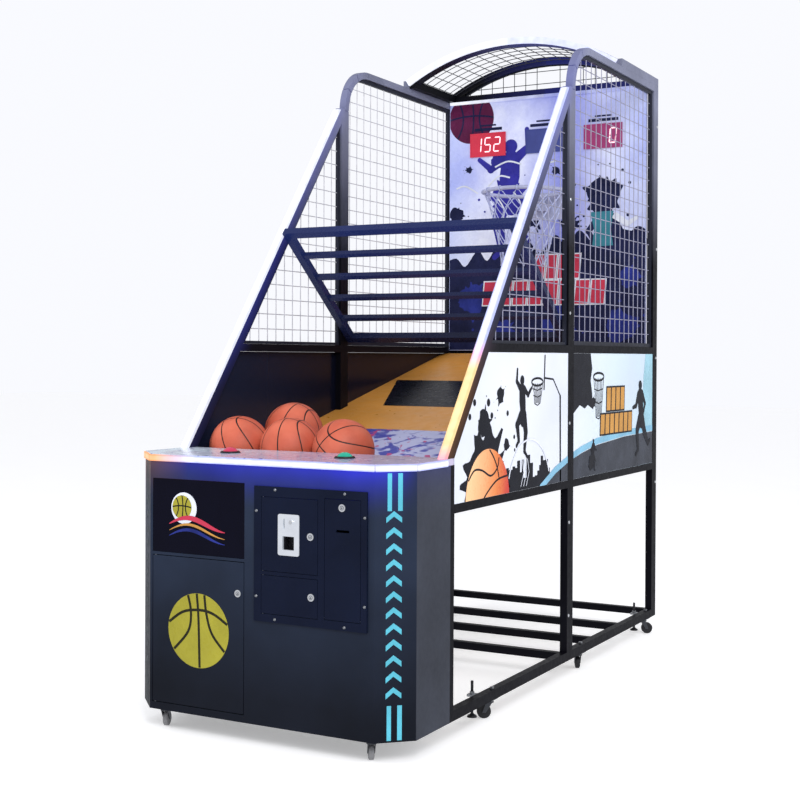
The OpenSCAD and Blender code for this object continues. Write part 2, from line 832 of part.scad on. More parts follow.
// Domed bolt head facing along -y
module front_bolt(x, z) {
    translate([x, -coin_frame_t - 0.1, z]) rotate([90, 0, 0]) cylinder(r1 = 5, r2 = 3.2, h = 2.6);
}

// Hinge pins, frame bolts, caster plates, bolt heads and foot nuts
module frame_hardware() {
    color("#9a9ea6") from_front() {
        // hinge pins of the service door
        for (z = [service_hole[1], service_hole[3] - pin_l])
            translate([service_hole[0] + door_gap + hinge_in, door_t / 2, z]) cylinder(r = pin_r, h = pin_l);
        // hinge pins of the coin door and the cash door
        for (b = [coin_door_hole, cash_door_hole], z = [b[1], b[3] - pin_l])
            translate([b[0] + small_gap + small_hinge_in, small_door_t / 2 - coin_frame_t, z])
                cylinder(r = small_pin_r, h = pin_l);
        // hinge pins of the ticket door
        for (x = [ticket_door_hole[0], ticket_door_hole[2] - pin_l])
            translate([x, small_door_t / 2 - coin_frame_t, ticket_door_hole[1] + small_gap + small_hinge_in])
                rotate([0, 90, 0]) cylinder(r = small_pin_r, h = pin_l);
        // eight bolts of the coin door frame
        cx = (coin_plate_box[0] + coin_plate_box[2]) / 2;
        cz = (coin_plate_box[1] + coin_plate_box[3]) / 2;
        for (s = [-1, 1], q = [-1, 1]) {
            front_bolt(cx + s * 131, cz + q * 210);
            front_bolt(cx + s * 204, cz + q * 139);
        }
        // caster bolt heads on the side rails, and the foot nuts
        for (k = [2 : 7])
            translate([sign(caster_spots[k][0]) * 525, caster_spots[k][1], rail_top + 0.2])
                cylinder(r = 8, h = 7, $fn = 6);
        for (s = foot_spots)
            foot_tab(s);
    }
    for (k = [0 : 7])
        color("#5a5d66") caster_plate(k);
}

// Tab beside a side rail with a nut on top, for one levelling foot
module foot_tab(s) {
    x = [inner_w - 28, inner_w - 0.2];
    translate([0, s[1], 0]) difference() {
        block(s[0] > 0 ? x : [-x[1], -x[0]], [-16, 16], [foot_tab_z, foot_tab_z + foot_tab_t]);
        translate([s[0], 0, foot_tab_z - eps]) cylinder(r = stud_r + hair, h = foot_tab_t + 2 * eps);
    }
    translate([s[0], s[1], foot_tab_z + foot_tab_t + 0.2]) difference() {
        cylinder(r = 9, h = 8, $fn = 6);
        translate([0, 0, -eps]) cylinder(r = stud_r + hair, h = 20);
    }
}

// Levelling foot that screws down through its tab
module levelling_foot(k) from_front() color("#26272c") {
    s = foot_spots[k];
    translate([s[0], s[1], foot_gap]) {
        cylinder(r1 = pad_r, r2 = pad_r - 2, h = 6);
        translate([0, 0, 6]) cylinder(r1 = 12, r2 = 7, h = 6);
        translate([0, 0, 11]) cylinder(r = stud_r, h = stud_top - foot_gap - 11);
    }
}

module foot_fore_left() levelling_foot(0);
module foot_fore_right() levelling_foot(1);
module foot_rear_left() levelling_foot(2);
module foot_rear_right() levelling_foot(3);
module fork_nose_left() caster_fork(0);
module fork_nose_right() caster_fork(1);
module fork_fore_left() caster_fork(2);
module fork_fore_right() caster_fork(3);
module fork_mid_left() caster_fork(4);
module fork_mid_right() caster_fork(5);
module fork_rear_left() caster_fork(6);
module fork_rear_right() caster_fork(7);
module wheel_nose_left() caster_wheel(0);
module wheel_nose_right() caster_wheel(1);
module wheel_fore_left() caster_wheel(2);
module wheel_fore_right() caster_wheel(3);
module wheel_mid_left() caster_wheel(4);
module wheel_mid_right() caster_wheel(5);
module wheel_rear_left() caster_wheel(6);
module wheel_rear_right() caster_wheel(7);

cabinet_shell();
control_deck();
button_bezels();
red_button();
green_button();
sign_panel();
service_door();
service_lock();
coin_door_frame();
coin_door();
coin_lock();
coin_plate();
coin_return_button();
coin_mechanism();
cash_door();
cash_lock();
cash_box();
ticket_door();
ticket_lock();
ticket_dispenser();
electronics();
power_inlet();
side_frames();
cross_members();
guard_rack();
light_strips();
side_panels();
side_mesh();
roof_frame();
roof_mesh();
backboard();
displays();
hoop();
net();
playfield_ramp();
frame_hardware();
ball_left();
ball_middle();
ball_right();
ball_back();
foot_fore_left();
foot_fore_right();
foot_rear_left();
foot_rear_right();
fork_nose_left();
fork_nose_right();
fork_fore_left();
fork_fore_right();
fork_mid_left();
fork_mid_right();
fork_rear_left();
fork_rear_right();
wheel_nose_left();
wheel_nose_right();
wheel_fore_left();
wheel_fore_right();
wheel_mid_left();
wheel_mid_right();
wheel_rear_left();
wheel_rear_right();
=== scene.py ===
import math
import random

import bmesh
import bpy
from mathutils import Matrix, Vector
from mathutils.geometry import tessellate_polygon


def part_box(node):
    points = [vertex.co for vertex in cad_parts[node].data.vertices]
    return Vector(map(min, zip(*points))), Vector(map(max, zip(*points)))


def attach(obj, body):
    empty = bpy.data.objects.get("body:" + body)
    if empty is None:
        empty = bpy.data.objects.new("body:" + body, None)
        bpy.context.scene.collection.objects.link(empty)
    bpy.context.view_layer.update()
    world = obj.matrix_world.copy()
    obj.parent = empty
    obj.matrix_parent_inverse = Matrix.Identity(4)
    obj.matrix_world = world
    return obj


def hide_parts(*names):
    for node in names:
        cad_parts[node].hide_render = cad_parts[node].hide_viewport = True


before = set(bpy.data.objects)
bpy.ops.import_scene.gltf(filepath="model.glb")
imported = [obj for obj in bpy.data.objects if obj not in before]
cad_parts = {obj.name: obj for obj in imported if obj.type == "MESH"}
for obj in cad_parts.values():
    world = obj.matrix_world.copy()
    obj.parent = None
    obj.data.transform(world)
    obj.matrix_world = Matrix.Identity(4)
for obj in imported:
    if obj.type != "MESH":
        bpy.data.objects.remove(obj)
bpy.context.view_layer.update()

MM = 0.001

# ---- places, from the frame ----

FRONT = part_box("cabinet_shell")[0][1]
HALF_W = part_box("cabinet_shell")[1][0]
DECK_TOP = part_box("control_deck")[1][2]
FRAME_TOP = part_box("side_frames")[1][2]
TUBE = 30 * MM
# the slanted tubes' angle, and where their inner edge meets the deck, in mm from the front
SLANT = math.radians(52.9)
SLOPE = math.tan(SLANT)
SLANT_FOOT = 356
# the ramp's low edge, in mm from the front, its height there and its slope
RAMP_FOOT = 351
RAMP_Z = 0.8005
RAMP_SLOPE = 0.239
ARCH_R = 1.0
ARCH_Z = 2.72 - ARCH_R


def Y(from_front):
    """A distance in mm from the cabinet front, as a frame y in metres."""
    return FRONT + from_front * MM


# ---- shader helpers ----


class Shader:
    """A node tree with a Principled shader and short calls that add maths and textures."""

    def __init__(self, name, color=(0.5, 0.5, 0.5), rough=0.5, metal=0.0, **sockets):
        self.mat = bpy.data.materials.new(name)
        self.mat.use_nodes = True
        self.tree = self.mat.node_tree
        self.tree.nodes.clear()
        out = self.tree.nodes.new("ShaderNodeOutputMaterial")
        self.bsdf = self.tree.nodes.new("ShaderNodeBsdfPrincipled")
        self.tree.links.new(self.bsdf.outputs[0], out.inputs["Surface"])
        self.put("Base Color", (*color, 1.0))
        self.put("Roughness", rough)
        self.put("Metallic", metal)
        for key, value in sockets.items():
            self.put(key.replace("_", " "), value)
        self.mat.diffuse_color = (*color, 1.0)
        self._object = None

    def put(self, socket, value):
        """Sets or links a socket of the Principled shader."""
        self.feed(self.bsdf.inputs[socket], value)

    def feed(self, socket, value):
        if isinstance(value, bpy.types.NodeSocket):
            self.tree.links.new(value, socket)
        else:
            if isinstance(value, tuple) and socket.type == "RGBA" and len(value) == 3:
                value = (*value, 1.0)
            socket.default_value = value

    def position(self):
        """Object coordinates, which for a CAD node are the frame's own."""
        if self._object is None:
            self._object = self.tree.nodes.new("ShaderNodeTexCoord").outputs["Object"]
        return self._object

    def node(self, kind, feeds, **settings):
        """Adds a node with these settings, and sets or links its inputs by name or number."""
        node = self.tree.nodes.new("ShaderNode" + kind)
        for key, value in settings.items():
            setattr(node, key, value)
        for key, value in feeds.items():
            if value is not None:
                self.feed(node.inputs[key], value)
        return node.outputs

    def xyz(self, vector=None):
        return self.node("SeparateXYZ", {0: vector or self.position()})[:3]

    def join(self, x, y, z):
        return self.node("CombineXYZ", {0: x, 1: y, 2: z})[0]

    def maths(self, op, a, b=None):
        return self.node("Math", {0: a, 1: b}, operation=op)[0]

    def times(self, a, b):
        return self.maths("MULTIPLY", a, b)

    def minus(self, a, b):
        return self.maths("SUBTRACT", a, b)

    def size(self, a):
        return self.maths("ABSOLUTE", a)

    def below(self, a, b):
        return self.maths("LESS_THAN", a, b)

    def above(self, a, b):
        return self.maths("GREATER_THAN", a, b)

    def scaled(self, color, scale):
        return self.node("VectorMath", {0: color, "Scale": scale}, operation="SCALE")["Vector"]

    def vector_maths(self, op, a):
        return self.node("VectorMath", {0: a}, operation=op)["Value" if op == "LENGTH" else "Vector"]

    def noise(self, scale, detail=4.0, vector=None, distortion=0.0):
        feeds = {"Scale": scale, "Detail": detail, "Roughness": 0.55, "Distortion": distortion}
        return self.node("TexNoise", {"Vector": vector or self.position(), **feeds})["Fac"]

    def cells(self, scale):
        return self.node("TexVoronoi", {"Vector": self.position(), "Scale": scale})["Distance"]

    def span(self, value, low, high, to_low=0.0, to_high=1.0):
        """Maps low..high to to_low..to_high, held at the ends."""
        ends = {"From Min": low, "From Max": high, "To Min": to_low, "To Max": to_high}
        return self.node("MapRange", {"Value": value, **ends})[0]

    def blend(self, factor, a, b):
        """Colour a at factor 0, colour b at 1. Inputs 6 and 7 and output 2 are the mix node's colours."""
        return self.node("Mix", {"Factor": factor, 6: a, 7: b}, data_type="RGBA")[2]

    def bump(self, height, strength, distance):
        feeds = {"Strength": strength, "Distance": distance, "Height": height}
        self.put("Normal", self.node("Bump", feeds)[0])

    def uneven(self, color, amount, scale):
        """The colour with a slow light and dark drift over it."""
        return self.scaled(color, self.patchy(scale, 3.0, 1.0 - amount, 1.0 + amount))

    def patchy(self, scale, detail, low, high):
        """A number that wanders between two values over the surface."""
        return self.span(self.noise(scale, detail), 0.3, 0.7, low, high)

    def fade(self, value, low, high, a, b):
        """Colour a up to low, colour b from high."""
        return self.blend(self.span(value, low, high), a, b)

    def base(self, color):
        self.put("Base Color", color)

    def rough(self, scale, detail, low, high):
        self.put("Roughness", self.patchy(scale, detail, low, high))

    def grain(self, scale, detail, strength, distance):
        self.bump(self.noise(scale, detail), strength, distance)

    def glow(self, color, strength):
        self.put("Emission Color", color)
        self.put("Emission Strength", strength)


def powder_coat(name, color, rough=0.42, grain=1400.0, depth=0.35, spec=0.2):
    """Satin powder coat with a fine orange peel and a faint rub of dust."""
    s = Shader(name, color, rough, Specular_IOR_Level=spec)
    s.base(s.uneven(color, 0.2, 4.0))
    s.rough(60.0, 5.0, rough - 0.07, rough + 0.09)
    s.grain(grain, 3.0, depth, 0.00025)
    return s.mat


def moulded(name, color, rough=0.35, grain=900.0, **sockets):
    """Moulded plastic with a light grain."""
    s = Shader(name, color, rough, **sockets)
    s.base(s.uneven(color, 0.1, 12.0))
    s.rough(90.0, 4.0, rough - 0.06, rough + 0.08)
    s.grain(grain, 2.0, 0.18, 0.0002)
    return s.mat


def metal(name, color, rough=0.28, brushed=True, painted_glow_strength=0.0):
    """Plated or brushed steel, with fine scratches along z, and a painted glow standing in for the strip
    light's reflection on it.
    """
    s = Shader(name, color, rough, 1.0)
    # painted reflection: a faint blue-white emission stands in for the strip light's reflection
    s.glow((0.8, 0.88, 1.0), painted_glow_strength)
    x, y, z = s.xyz()
    along = s.join(s.times(x, 900.0), s.times(y, 900.0), s.times(z, 60.0))
    scratches = s.noise(1.0, 3.0, vector=along)
    s.put("Roughness", s.span(scratches, 0.3, 0.7, rough - 0.08, rough + (0.16 if brushed else 0.04)))
    s.base(s.uneven(color, 0.08, 30.0))
    s.bump(scratches, 0.12 if brushed else 0.03, 0.0001)
    return s.mat


def give(node, material):
    """Puts a material on every slot of a CAD node."""
    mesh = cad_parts[node].data
    if not mesh.materials:
        mesh.materials.append(material)
    for i in range(len(mesh.materials)):
        mesh.materials[i] = material


# ---- materials ----

def led_colour(s, z):
    """White-blue strip light, warm below the middle rail, with a pink change between."""
    warm_top = 1.235
    warm = s.fade(z, DECK_TOP, DECK_TOP + 0.05, (1.0, 0.3, 0.42), (1.0, 0.68, 0.3))
    pink = s.fade(z, warm_top, warm_top + 0.05, warm, (0.95, 0.36, 0.66))
    return s.fade(z, warm_top + 0.04, warm_top + 0.1, pink, (0.42, 0.48, 1.0))


def strip_light():
    """Diffuser over a row of LEDs: bright along its middle and coloured at its edges."""
    s = Shader("strip_light", (0.85, 0.88, 1.0), 0.35)
    x, y, z = s.xyz()
    slanted = s.blend(s.below(x, 0.0), led_colour(s, z), (0.8, 0.84, 1.0))
    # the deck strip turns orange towards its left end
    deck = s.fade(x, -0.42, -0.25, (1.0, 0.4, 0.14), (0.4, 0.46, 1.0))
    on_deck = s.below(z, DECK_TOP)
    glow = s.blend(on_deck, slanted, deck)
    across_tube = s.size(s.minus(s.size(x), HALF_W - TUBE / 2))
    across_deck = s.size(s.minus(z, DECK_TOP - 13 * MM))
    tube_core = s.span(across_tube, 8 * MM, 17 * MM, 1.0, 0.0)
    deck_core = s.span(across_deck, 5 * MM, 12 * MM, 1.0, 0.0)
    core = s.maths("ADD", s.times(on_deck, deck_core),
                   s.times(s.minus(1.0, on_deck), tube_core))
    over = s.span(z, 2.5, 2.525)
    core = s.maths("MAXIMUM", core, s.times(over, 0.8))
    cool = s.span(s.xyz(glow)[2], 0.3, 0.9, 0.15, 0.85)
    lit = s.blend(s.times(core, cool), glow, (1.0, 1.0, 1.0))
    # the header strip is bright at its left end only
    dim = s.times(s.above(y, Y(2200)), s.span(x, -0.42, -0.12))
    lit = s.blend(dim, lit, (0.04, 0.05, 0.3))
    arch = s.times(over, s.span(s.noise(7.0, 2.0), 0.35, 0.65, 0.15, 0.6))
    lit = s.blend(arch, lit, (0.64, 0.68, 0.86))
    spots = s.span(s.noise(26.0, 1.0), 0.35, 0.65, 0.9, 1.1)
    s.glow(s.scaled(lit, spots), s.span(core, 0.0, 1.0, 0.7, 1.0))
    s.base(s.scaled(glow, 0.3))
    s.grain(500.0, 2.0, 0.1, 0.0002)
    return s.mat


def cabinet_paint():
    """Satin navy black, with painted light: the strip light's glow painted as emission on the band under it,
    the flanks painted lighter, and the front painted darker towards the floor.
    """
    s = Shader("cabinet_paint", (0.005, 0.008, 0.018), 0.36, Specular_IOR_Level=0.17)
    x, y, z = s.xyz()
    # painted shade: the front is darker towards the floor and bluer up towards the strip light
    front_shading = s.fade(z, 0.15, 0.7, (0.005, 0.007, 0.014), (0.016, 0.025, 0.05))
    # painted light: the flanks are painted lighter, as lit from the side
    lit_flank_mask = s.above(s.size(x), HALF_W - 1 * MM)
    s.base(s.uneven(s.blend(lit_flank_mask, front_shading, (0.034, 0.039, 0.055)), 0.25, 3.0))
    s.rough(50.0, 5.0, 0.3, 0.44)
    s.grain(2200.0, 3.0, 0.2, 0.00022)
    # painted glow: emission for the strip light's light on the band under it, orange at the left and blue to
    # the right, patchy
    fall = s.maths("POWER", s.span(z, DECK_TOP - 0.19, DECK_TOP - 0.02), 2.4)
    colour = s.fade(x, -0.46, -0.28, (0.42, 0.15, 0.06), (0.016, 0.016, 0.62))
    side = s.times(s.span(x, -0.45, 0.3, 0.3, 1.0), s.span(x, 0.47, 0.54, 1.0, 0.12))
    glow_patches = s.patchy(5.0, 2.0, 0.8, 1.15)
    outside = s.below(y, FRONT + 0.36)
    s.glow(s.scaled(colour, s.times(fall, side)), s.times(glow_patches, outside))
    return s.mat


def frame_paint():
    """Black powder coat, with painted light: strip-light glow painted as emission beside the slanted light
    strips and on the inner roof arch, and a painted grey wash at the top of the side frames.
    """
    s = Shader("frame_paint", (0.004, 0.004, 0.007), 0.4, Specular_IOR_Level=0.1)
    x, y, z = s.xyz()
    # painted light: the arch strip's light on the top of the side frames is painted into the base colour as a
    # grey wash
    outside = s.above(s.size(x), HALF_W - TUBE - 1 * MM)
    wash = s.times(s.span(z, 1.7, 2.45), outside)
    s.base(s.uneven(s.blend(wash, (0.004, 0.004, 0.007), (0.18, 0.19, 0.27)), 0.2, 4.0))
    s.rough(60.0, 5.0, 0.33, 0.48)
    s.grain(1400.0, 3.0, 0.3, 0.00022)
    # painted glow: emission beside the slanted strips, orange low down and blue higher up
    reach = s.minus(y, s.maths("ADD", s.maths("DIVIDE", s.minus(z, DECK_TOP), SLOPE), Y(310)))
    near = s.maths("POWER", s.span(reach, 0.0, 0.13, 1.0, 0.0), 2.0)
    above = s.span(z, DECK_TOP + 0.2, 1.4)
    high = s.fade(z, 1.8, 2.3, (0.03, 0.032, 0.075), (0.02, 0.028, 0.3))
    glow = s.blend(above, (0.1, 0.042, 0.014), high)
    glow = s.blend(s.below(x, 0.0), glow, s.blend(above, (0.01, 0.012, 0.05), (0.02, 0.024, 0.16)))
    slant = s.times(near, s.span(z, DECK_TOP - 0.02, DECK_TOP))
    slant = s.times(slant, s.span(z, 2.2, 2.5, 1.0, 0.3))
    # painted light: blue emission on the inner roof arch and the header
    crown = s.times(s.span(x, -0.35, 0.2), s.minus(1.0, outside))
    crown = s.times(crown, s.span(y, Y(2470), Y(2489), 1.0, 0.0))
    crown = s.times(crown, s.above(z, 2.3))
    from_axis = s.vector_maths("LENGTH", s.join(x, 0.0, s.minus(z, ARCH_Z)))
    crown = s.times(crown, s.below(from_axis, ARCH_R - 2 * MM))
    s.glow(s.blend(crown, glow, (0.012, 0.016, 0.11)), s.maths("MAXIMUM", slant, crown))
    return s.mat


def rack_paint():
    """Glossy blue-black enamel, with a painted blue highlight, stronger higher up and towards the front."""
    s = Shader("rack_paint", (0.009, 0.012, 0.034), 0.24, Specular_IOR_Level=0.25)
    s.base(s.uneven((0.009, 0.012, 0.034), 0.2, 6.0))
    s.rough(70.0, 4.0, 0.18, 0.34)
    s.grain(900.0, 2.0, 0.14, 0.0002)
    _, y, z = s.xyz()
    # painted highlight: blue emission, stronger higher up and towards the front
    s.glow(s.fade(z, 1.3, 1.8, (0.001, 0.002, 0.012), (0.006, 0.014, 0.085)),
           s.span(y, Y(1500), Y(900), 0.2, 1.0))
    return s.mat


def panel_print():
    """White printed panel outside, with a blue cast to the rear edge, and black inside the cage."""
    s = Shader("panel_print", (0.8, 0.84, 0.92), 0.24, Specular_IOR_Level=0.2)
    x, y, _ = s.xyz()
    pale = s.fade(y, Y(1300), Y(2400), (0.68, 0.71, 0.78), (0.5, 0.66, 0.77))
    haze = s.blend(s.span(s.noise(2.4, 2.0), 0.35, 0.7, 0.0, 0.5), pale, (0.52, 0.56, 0.68))
    inside = s.below(s.size(x), HALF_W - 4.6 * MM)
    s.base(s.blend(inside, haze,
                              s.fade(y, Y(500), Y(1300), (0.008, 0.013, 0.034), (0.004, 0.005, 0.014))))
    s.rough(30.0, 4.0, 0.23, 0.27)
    s.grain(700.0, 2.0, 0.02, 0.0001)
    return s.mat


def board_print():
    """Milky backboard print, blue at its edges, with pale violet washes, and a painted blue glow on its front
    face.
    """
    s = Shader("board_print", (0.6, 0.64, 0.85), 0.26)
    x, y, z = s.xyz()
    base = s.blend(s.span(s.noise(3.2, 5.0), 0.38, 0.66), (0.82, 0.85, 0.94), (0.46, 0.49, 0.78))
    middle = s.times(s.span(x, -0.12, 0.08), s.span(x, 0.14, 0.34, 1.0, 0.0))
    base = s.blend(s.times(middle, 0.75), base, (0.12, 0.14, 0.62))
    edge = s.span(s.size(x), 0.3, 0.5)
    base = s.blend(s.times(edge, 0.45), base, (0.2, 0.28, 0.75))
    back = s.above(y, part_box("backboard")[1][1] - 1 * MM)
    base = s.blend(back, base, s.blend(s.noise(40.0, 6.0), (0.03, 0.03, 0.034), (0.06, 0.06, 0.066)))
    s.base(base)
    s.rough(30.0, 4.0, 0.2, 0.34)
    # painted glow: the front face emits blue, more strongly higher up; the back face does not
    s.glow(s.blend(back, (0.25, 0.3, 0.7), (0.0, 0.0, 0.0)), s.span(z, 1.7, 2.5, 0.02, 0.16))
    s.grain(700.0, 2.0, 0.05, 0.0001)
    return s.mat


def ramp_print():
    """Ochre laminate, with a pale splash of blue and magenta where the balls come to rest."""
    s = Shader("ramp_print", (0.5, 0.27, 0.06), 0.34)
    x, y, z = s.xyz()
    ochre = s.uneven((0.74, 0.33, 0.06), 0.14, 3.0)
    swirl = s.noise(9.0, 3.0, distortion=1.2)
    pale = s.fade(swirl, 0.5, 0.56, (0.5, 0.52, 0.78), (0.05, 0.06, 0.42))
    pale = s.blend(s.span(s.noise(13.0, 2.0, distortion=2.0), 0.6, 0.64), pale, (0.5, 0.05, 0.22))
    printed = s.fade(y, Y(1108), Y(1111), pale, ochre)
    grain = s.noise(1.0, 4.0, vector=s.join(s.times(x, 6.0), s.times(y, 90.0), z))
    bare = s.fade(grain, 0.35, 0.65, (0.2, 0.13, 0.075), (0.3, 0.2, 0.12))
    under = s.below(s.minus(z, s.times(y, RAMP_SLOPE)),
                    RAMP_Z - Y(RAMP_FOOT) * RAMP_SLOPE - 6 * MM)
    s.base(s.blend(under, printed, bare))
    s.rough(25.0, 5.0, 0.26, 0.46)
    s.grain(420.0, 4.0, 0.12, 0.0002)
    return s.mat


def deck_print():
    """Pale lavender deck with a soft splash print, cyan at the left."""
    s = Shader("deck_print", (0.6, 0.54, 0.68), 0.2)
    x = s.xyz()[0]
    base = s.fade(x, -0.45, 0.1, (0.74, 0.86, 0.97), (0.45, 0.4, 0.58))
    base = s.blend(s.span(s.noise(11.0, 5.0, distortion=1.5), 0.5, 0.62, 0.0, 0.6), base, (0.47, 0.44, 0.58))
    base = s.blend(s.span(s.noise(17.0, 3.0, distortion=2.5), 0.6, 0.63, 0.0, 0.8), base, (0.1, 0.16, 0.48))
    s.base(base)
    s.rough(40.0, 4.0, 0.14, 0.28)
    s.grain(300.0, 2.0, 0.04, 0.0001)
    return s.mat


def glass(name, color, glow, strength):
    """A tinted lens over a lamp."""
    s = Shader(name, color, 0.12, Coat_Weight=0.6)
    s.base(s.uneven(color, 0.1, 30.0))
    s.glow(glow, s.patchy(60.0, 2.0, strength * 0.8, strength * 1.2))
    s.bump(s.cells(260.0), 0.12, 0.0003)
    return s.mat


def display_face():
    """Counter window: red filter, and a dark blue one in the middle."""
    s = Shader("display_face", (0.3, 0.02, 0.04), 0.16, Coat_Weight=0.5)
    x = s.xyz()[0]
    middle = s.below(s.size(x), 0.15)
    right = s.above(x, 0.15)
    tint = s.blend(middle, s.blend(right, (0.42, 0.015, 0.04), (0.22, 0.02, 0.1)), (0.025, 0.035, 0.16))
    s.base(tint)
    s.glow(tint, s.patchy(14.0, 2.0, 0.35, 0.6))
    s.grain(300.0, 2.0, 0.05, 0.0001)
    return s.mat


def mesh_paint():
    """Zinc-grey wire, painted paler on the player's left, as lit and shaded copies of one wire colour."""
    s = Shader("mesh_wire", (0.3, 0.3, 0.4), 0.34, Specular_IOR_Level=0.5)
    # painted light: the left wires are a lighter copy of the same grey
    left = s.below(s.xyz()[0], 0.0)
    s.base(s.uneven(s.blend(left, (0.26, 0.26, 0.36), (0.5, 0.5, 0.55)), 0.15, 30.0))
    s.rough(90.0, 3.0, 0.28, 0.42)
    s.grain(3000.0, 2.0, 0.2, 0.0001)
    return s.mat


def print_ink(name, color, drift, glow):
    """Printed ink: the colour with a fine dot screen and a slow drift."""
    s = Shader(name, color, 0.28, Specular_IOR_Level=0.12)
    screen = s.span(s.noise(1600.0, 1.0), 0.35, 0.65, 0.93, 1.05)
    s.base(s.scaled(s.uneven(color, drift, 9.0), screen))
    s.rough(40.0, 3.0, 0.23, 0.36)
    s.grain(1200.0, 2.0, 0.08, 0.0001)
    # emission: on the counter digits it is their lamp; on printed inks it is a painted glow
    if glow:
        s.glow(color, glow)
    return s.mat


def ball_ink():
    """Printed ball, peach at its front and red to its rear edge."""
    s = Shader("ink_ball", (0.8, 0.4, 0.16), 0.28, Specular_IOR_Level=0.12)
    y = s.xyz()[1]
    drift = s.maths("ADD", y, s.patchy(6.0, 2.0, -0.02, 0.02))
    warm = s.fade(drift, Y(480), Y(700), (0.84, 0.5, 0.26), (0.66, 0.2, 0.06))
    s.base(s.fade(drift, Y(690), Y(790), warm, (0.5, 0.05, 0.04)))
    s.rough(40.0, 3.0, 0.24, 0.36)
    return s.mat


FRAME_PAINT = frame_paint()
CABINET_PAINT = cabinet_paint()
DOOR_PAINT = powder_coat("door_paint", (0.004, 0.007, 0.022), 0.36, 2000.0, 0.25, spec=0.12)
# the last argument is a painted glow: chrome and the bright plate emit faintly, as a painted reflection of
# the strip light
CHROME = metal("chrome", (0.92, 0.93, 0.95), 0.14, False, 0.12)
BRIGHT_PLATE_PAINTED_GLOW = metal("bright_plate_painted_glow", (0.95, 0.96, 1.0), 0.4, True, 0.3)
ZINC = metal("zinc", (0.5, 0.52, 0.55), 0.35)
STEEL = metal("steel", (0.42, 0.44, 0.47), 0.32)
DARK_STEEL = metal("dark_steel", (0.12, 0.125, 0.14), 0.4)
BLACK_PLASTIC = moulded("black_plastic", (0.012, 0.012, 0.016), 0.38)
RED_LENS = glass("red_lens", (0.5, 0.03, 0.09), (0.6, 0.02, 0.06), 0.25)
GREEN_LENS = glass("green_lens", (0.01, 0.34, 0.24), (0.0, 0.4, 0.22), 0.2)
SIGN_BLACK = moulded("sign_black", (0.002, 0.002, 0.008), 0.14, Specular_IOR_Level=0.12)
PCB = moulded("pcb", (0.03, 0.16, 0.07), 0.4)
MESH_FRAME = powder_coat("mesh_frame", (0.016, 0.018, 0.03), 0.36, 3000.0)
MESH_WIRE = mesh_paint()
ROOF_WIRE = powder_coat("roof_wire", (0.035, 0.037, 0.05), 0.4, 3000.0)
HOOP_PAINT = powder_coat("hoop_paint", (0.4, 0.42, 0.6), 0.24, 1800.0, 0.2, spec=0.4)
NET_CORD = moulded("net_cord", (0.44, 0.48, 0.72), 0.75)
TREAD_BLACK = moulded("tread_black", (0.012, 0.012, 0.015), 0.6)
TREAD_GREY = moulded("tread_grey", (0.2, 0.2, 0.21), 0.6)

# printed inks: colour, drift and glow, the glow a painted glow as the inks are no lamps
INKS = {
    "black": ((0.006, 0.007, 0.013), 0.2, 0.0),
    "cyan": ((0.09, 0.42, 0.54), 0.12, 0.06),
    "yellow": ((0.33, 0.3, 0.035), 0.12, 0.0),
    "seam": ((0.02, 0.02, 0.012), 0.12, 0.0),
    "amber": ((0.5, 0.25, 0.06), 0.12, 0.0),
    "white": ((0.66, 0.69, 0.78), 0.12, 0.0),
    "red": ((0.5, 0.04, 0.08), 0.12, 0.0),
    "blue": ((0.2, 0.42, 0.58), 0.12, 0.0),
    "royal": ((0.02, 0.03, 0.2), 0.4, 0.0),
    "navy": ((0.012, 0.015, 0.055), 0.35, 0.0),
    "indigo": ((0.03, 0.028, 0.26), 0.3, 0.08),
    "maroon": ((0.09, 0.012, 0.05), 0.3, 0.0),
    "sky": ((0.3, 0.52, 0.62), 0.12, 0.0),
    "teal": ((0.04, 0.2, 0.26), 0.12, 0.0),
    # a shaded copy of the cyan, as painted shade on the left bevel stripes
    "shaded_cyan": ((0.006, 0.02, 0.028), 0.12, 0.0),
    "grey": ((0.04, 0.045, 0.06), 0.25, 0.0),
}
INK = {name: print_ink("ink_" + name, *look) for name, look in INKS.items()}
INK["ball"] = ball_ink()
INK["digit"] = print_ink("digit", (0.9, 0.5, 0.55), 0.12, 1.3)

LOOKS = [
    (CABINET_PAINT, "cabinet_shell service_door"), (deck_print(), "control_deck"),
    (RED_LENS, "red_button"), (GREEN_LENS, "green_button"), (SIGN_BLACK, "sign_panel"),
    (DOOR_PAINT, "coin_door_frame coin_door cash_door ticket_door"), (BRIGHT_PLATE_PAINTED_GLOW, "coin_plate"),
    (CHROME, "service_lock coin_lock coin_return_button cash_lock ticket_lock"), (STEEL, "cash_box"),
    (BLACK_PLASTIC, "button_bezels coin_mechanism ticket_dispenser power_inlet foot_"), (PCB, "electronics"),
    (FRAME_PAINT, "side_frames cross_members roof_frame"), (rack_paint(), "guard_rack"),
    (strip_light(), "light_strips"), (panel_print(), "side_panels"), (MESH_WIRE, "side_mesh"),
    (ROOF_WIRE, "roof_mesh"), (board_print(), "backboard"), (display_face(), "displays"),
    (HOOP_PAINT, "hoop"), (NET_CORD, "net"), (ramp_print(), "playfield_ramp"), (ZINC, "frame_hardware"),
    (DARK_STEEL, "fork_"), (TREAD_GREY, "wheel_nose_"), (TREAD_BLACK, "wheel_fore_ wheel_mid_ wheel_rear_"),
]
for look, starts in LOOKS:
    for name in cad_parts:
        if name.startswith(tuple(starts.split())):
            give(name, look)

# ---- geometry helpers ----


def link(name, data):
    obj = bpy.data.objects.new(name, data)
    bpy.context.collection.objects.link(obj)
    return obj


def put(name, mesh, material, body="machine"):
    """Links a mesh as a piece that rides on a body."""
    mesh.materials.append(material)
    obj = link(name, mesh)
    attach(obj, body)
    return obj


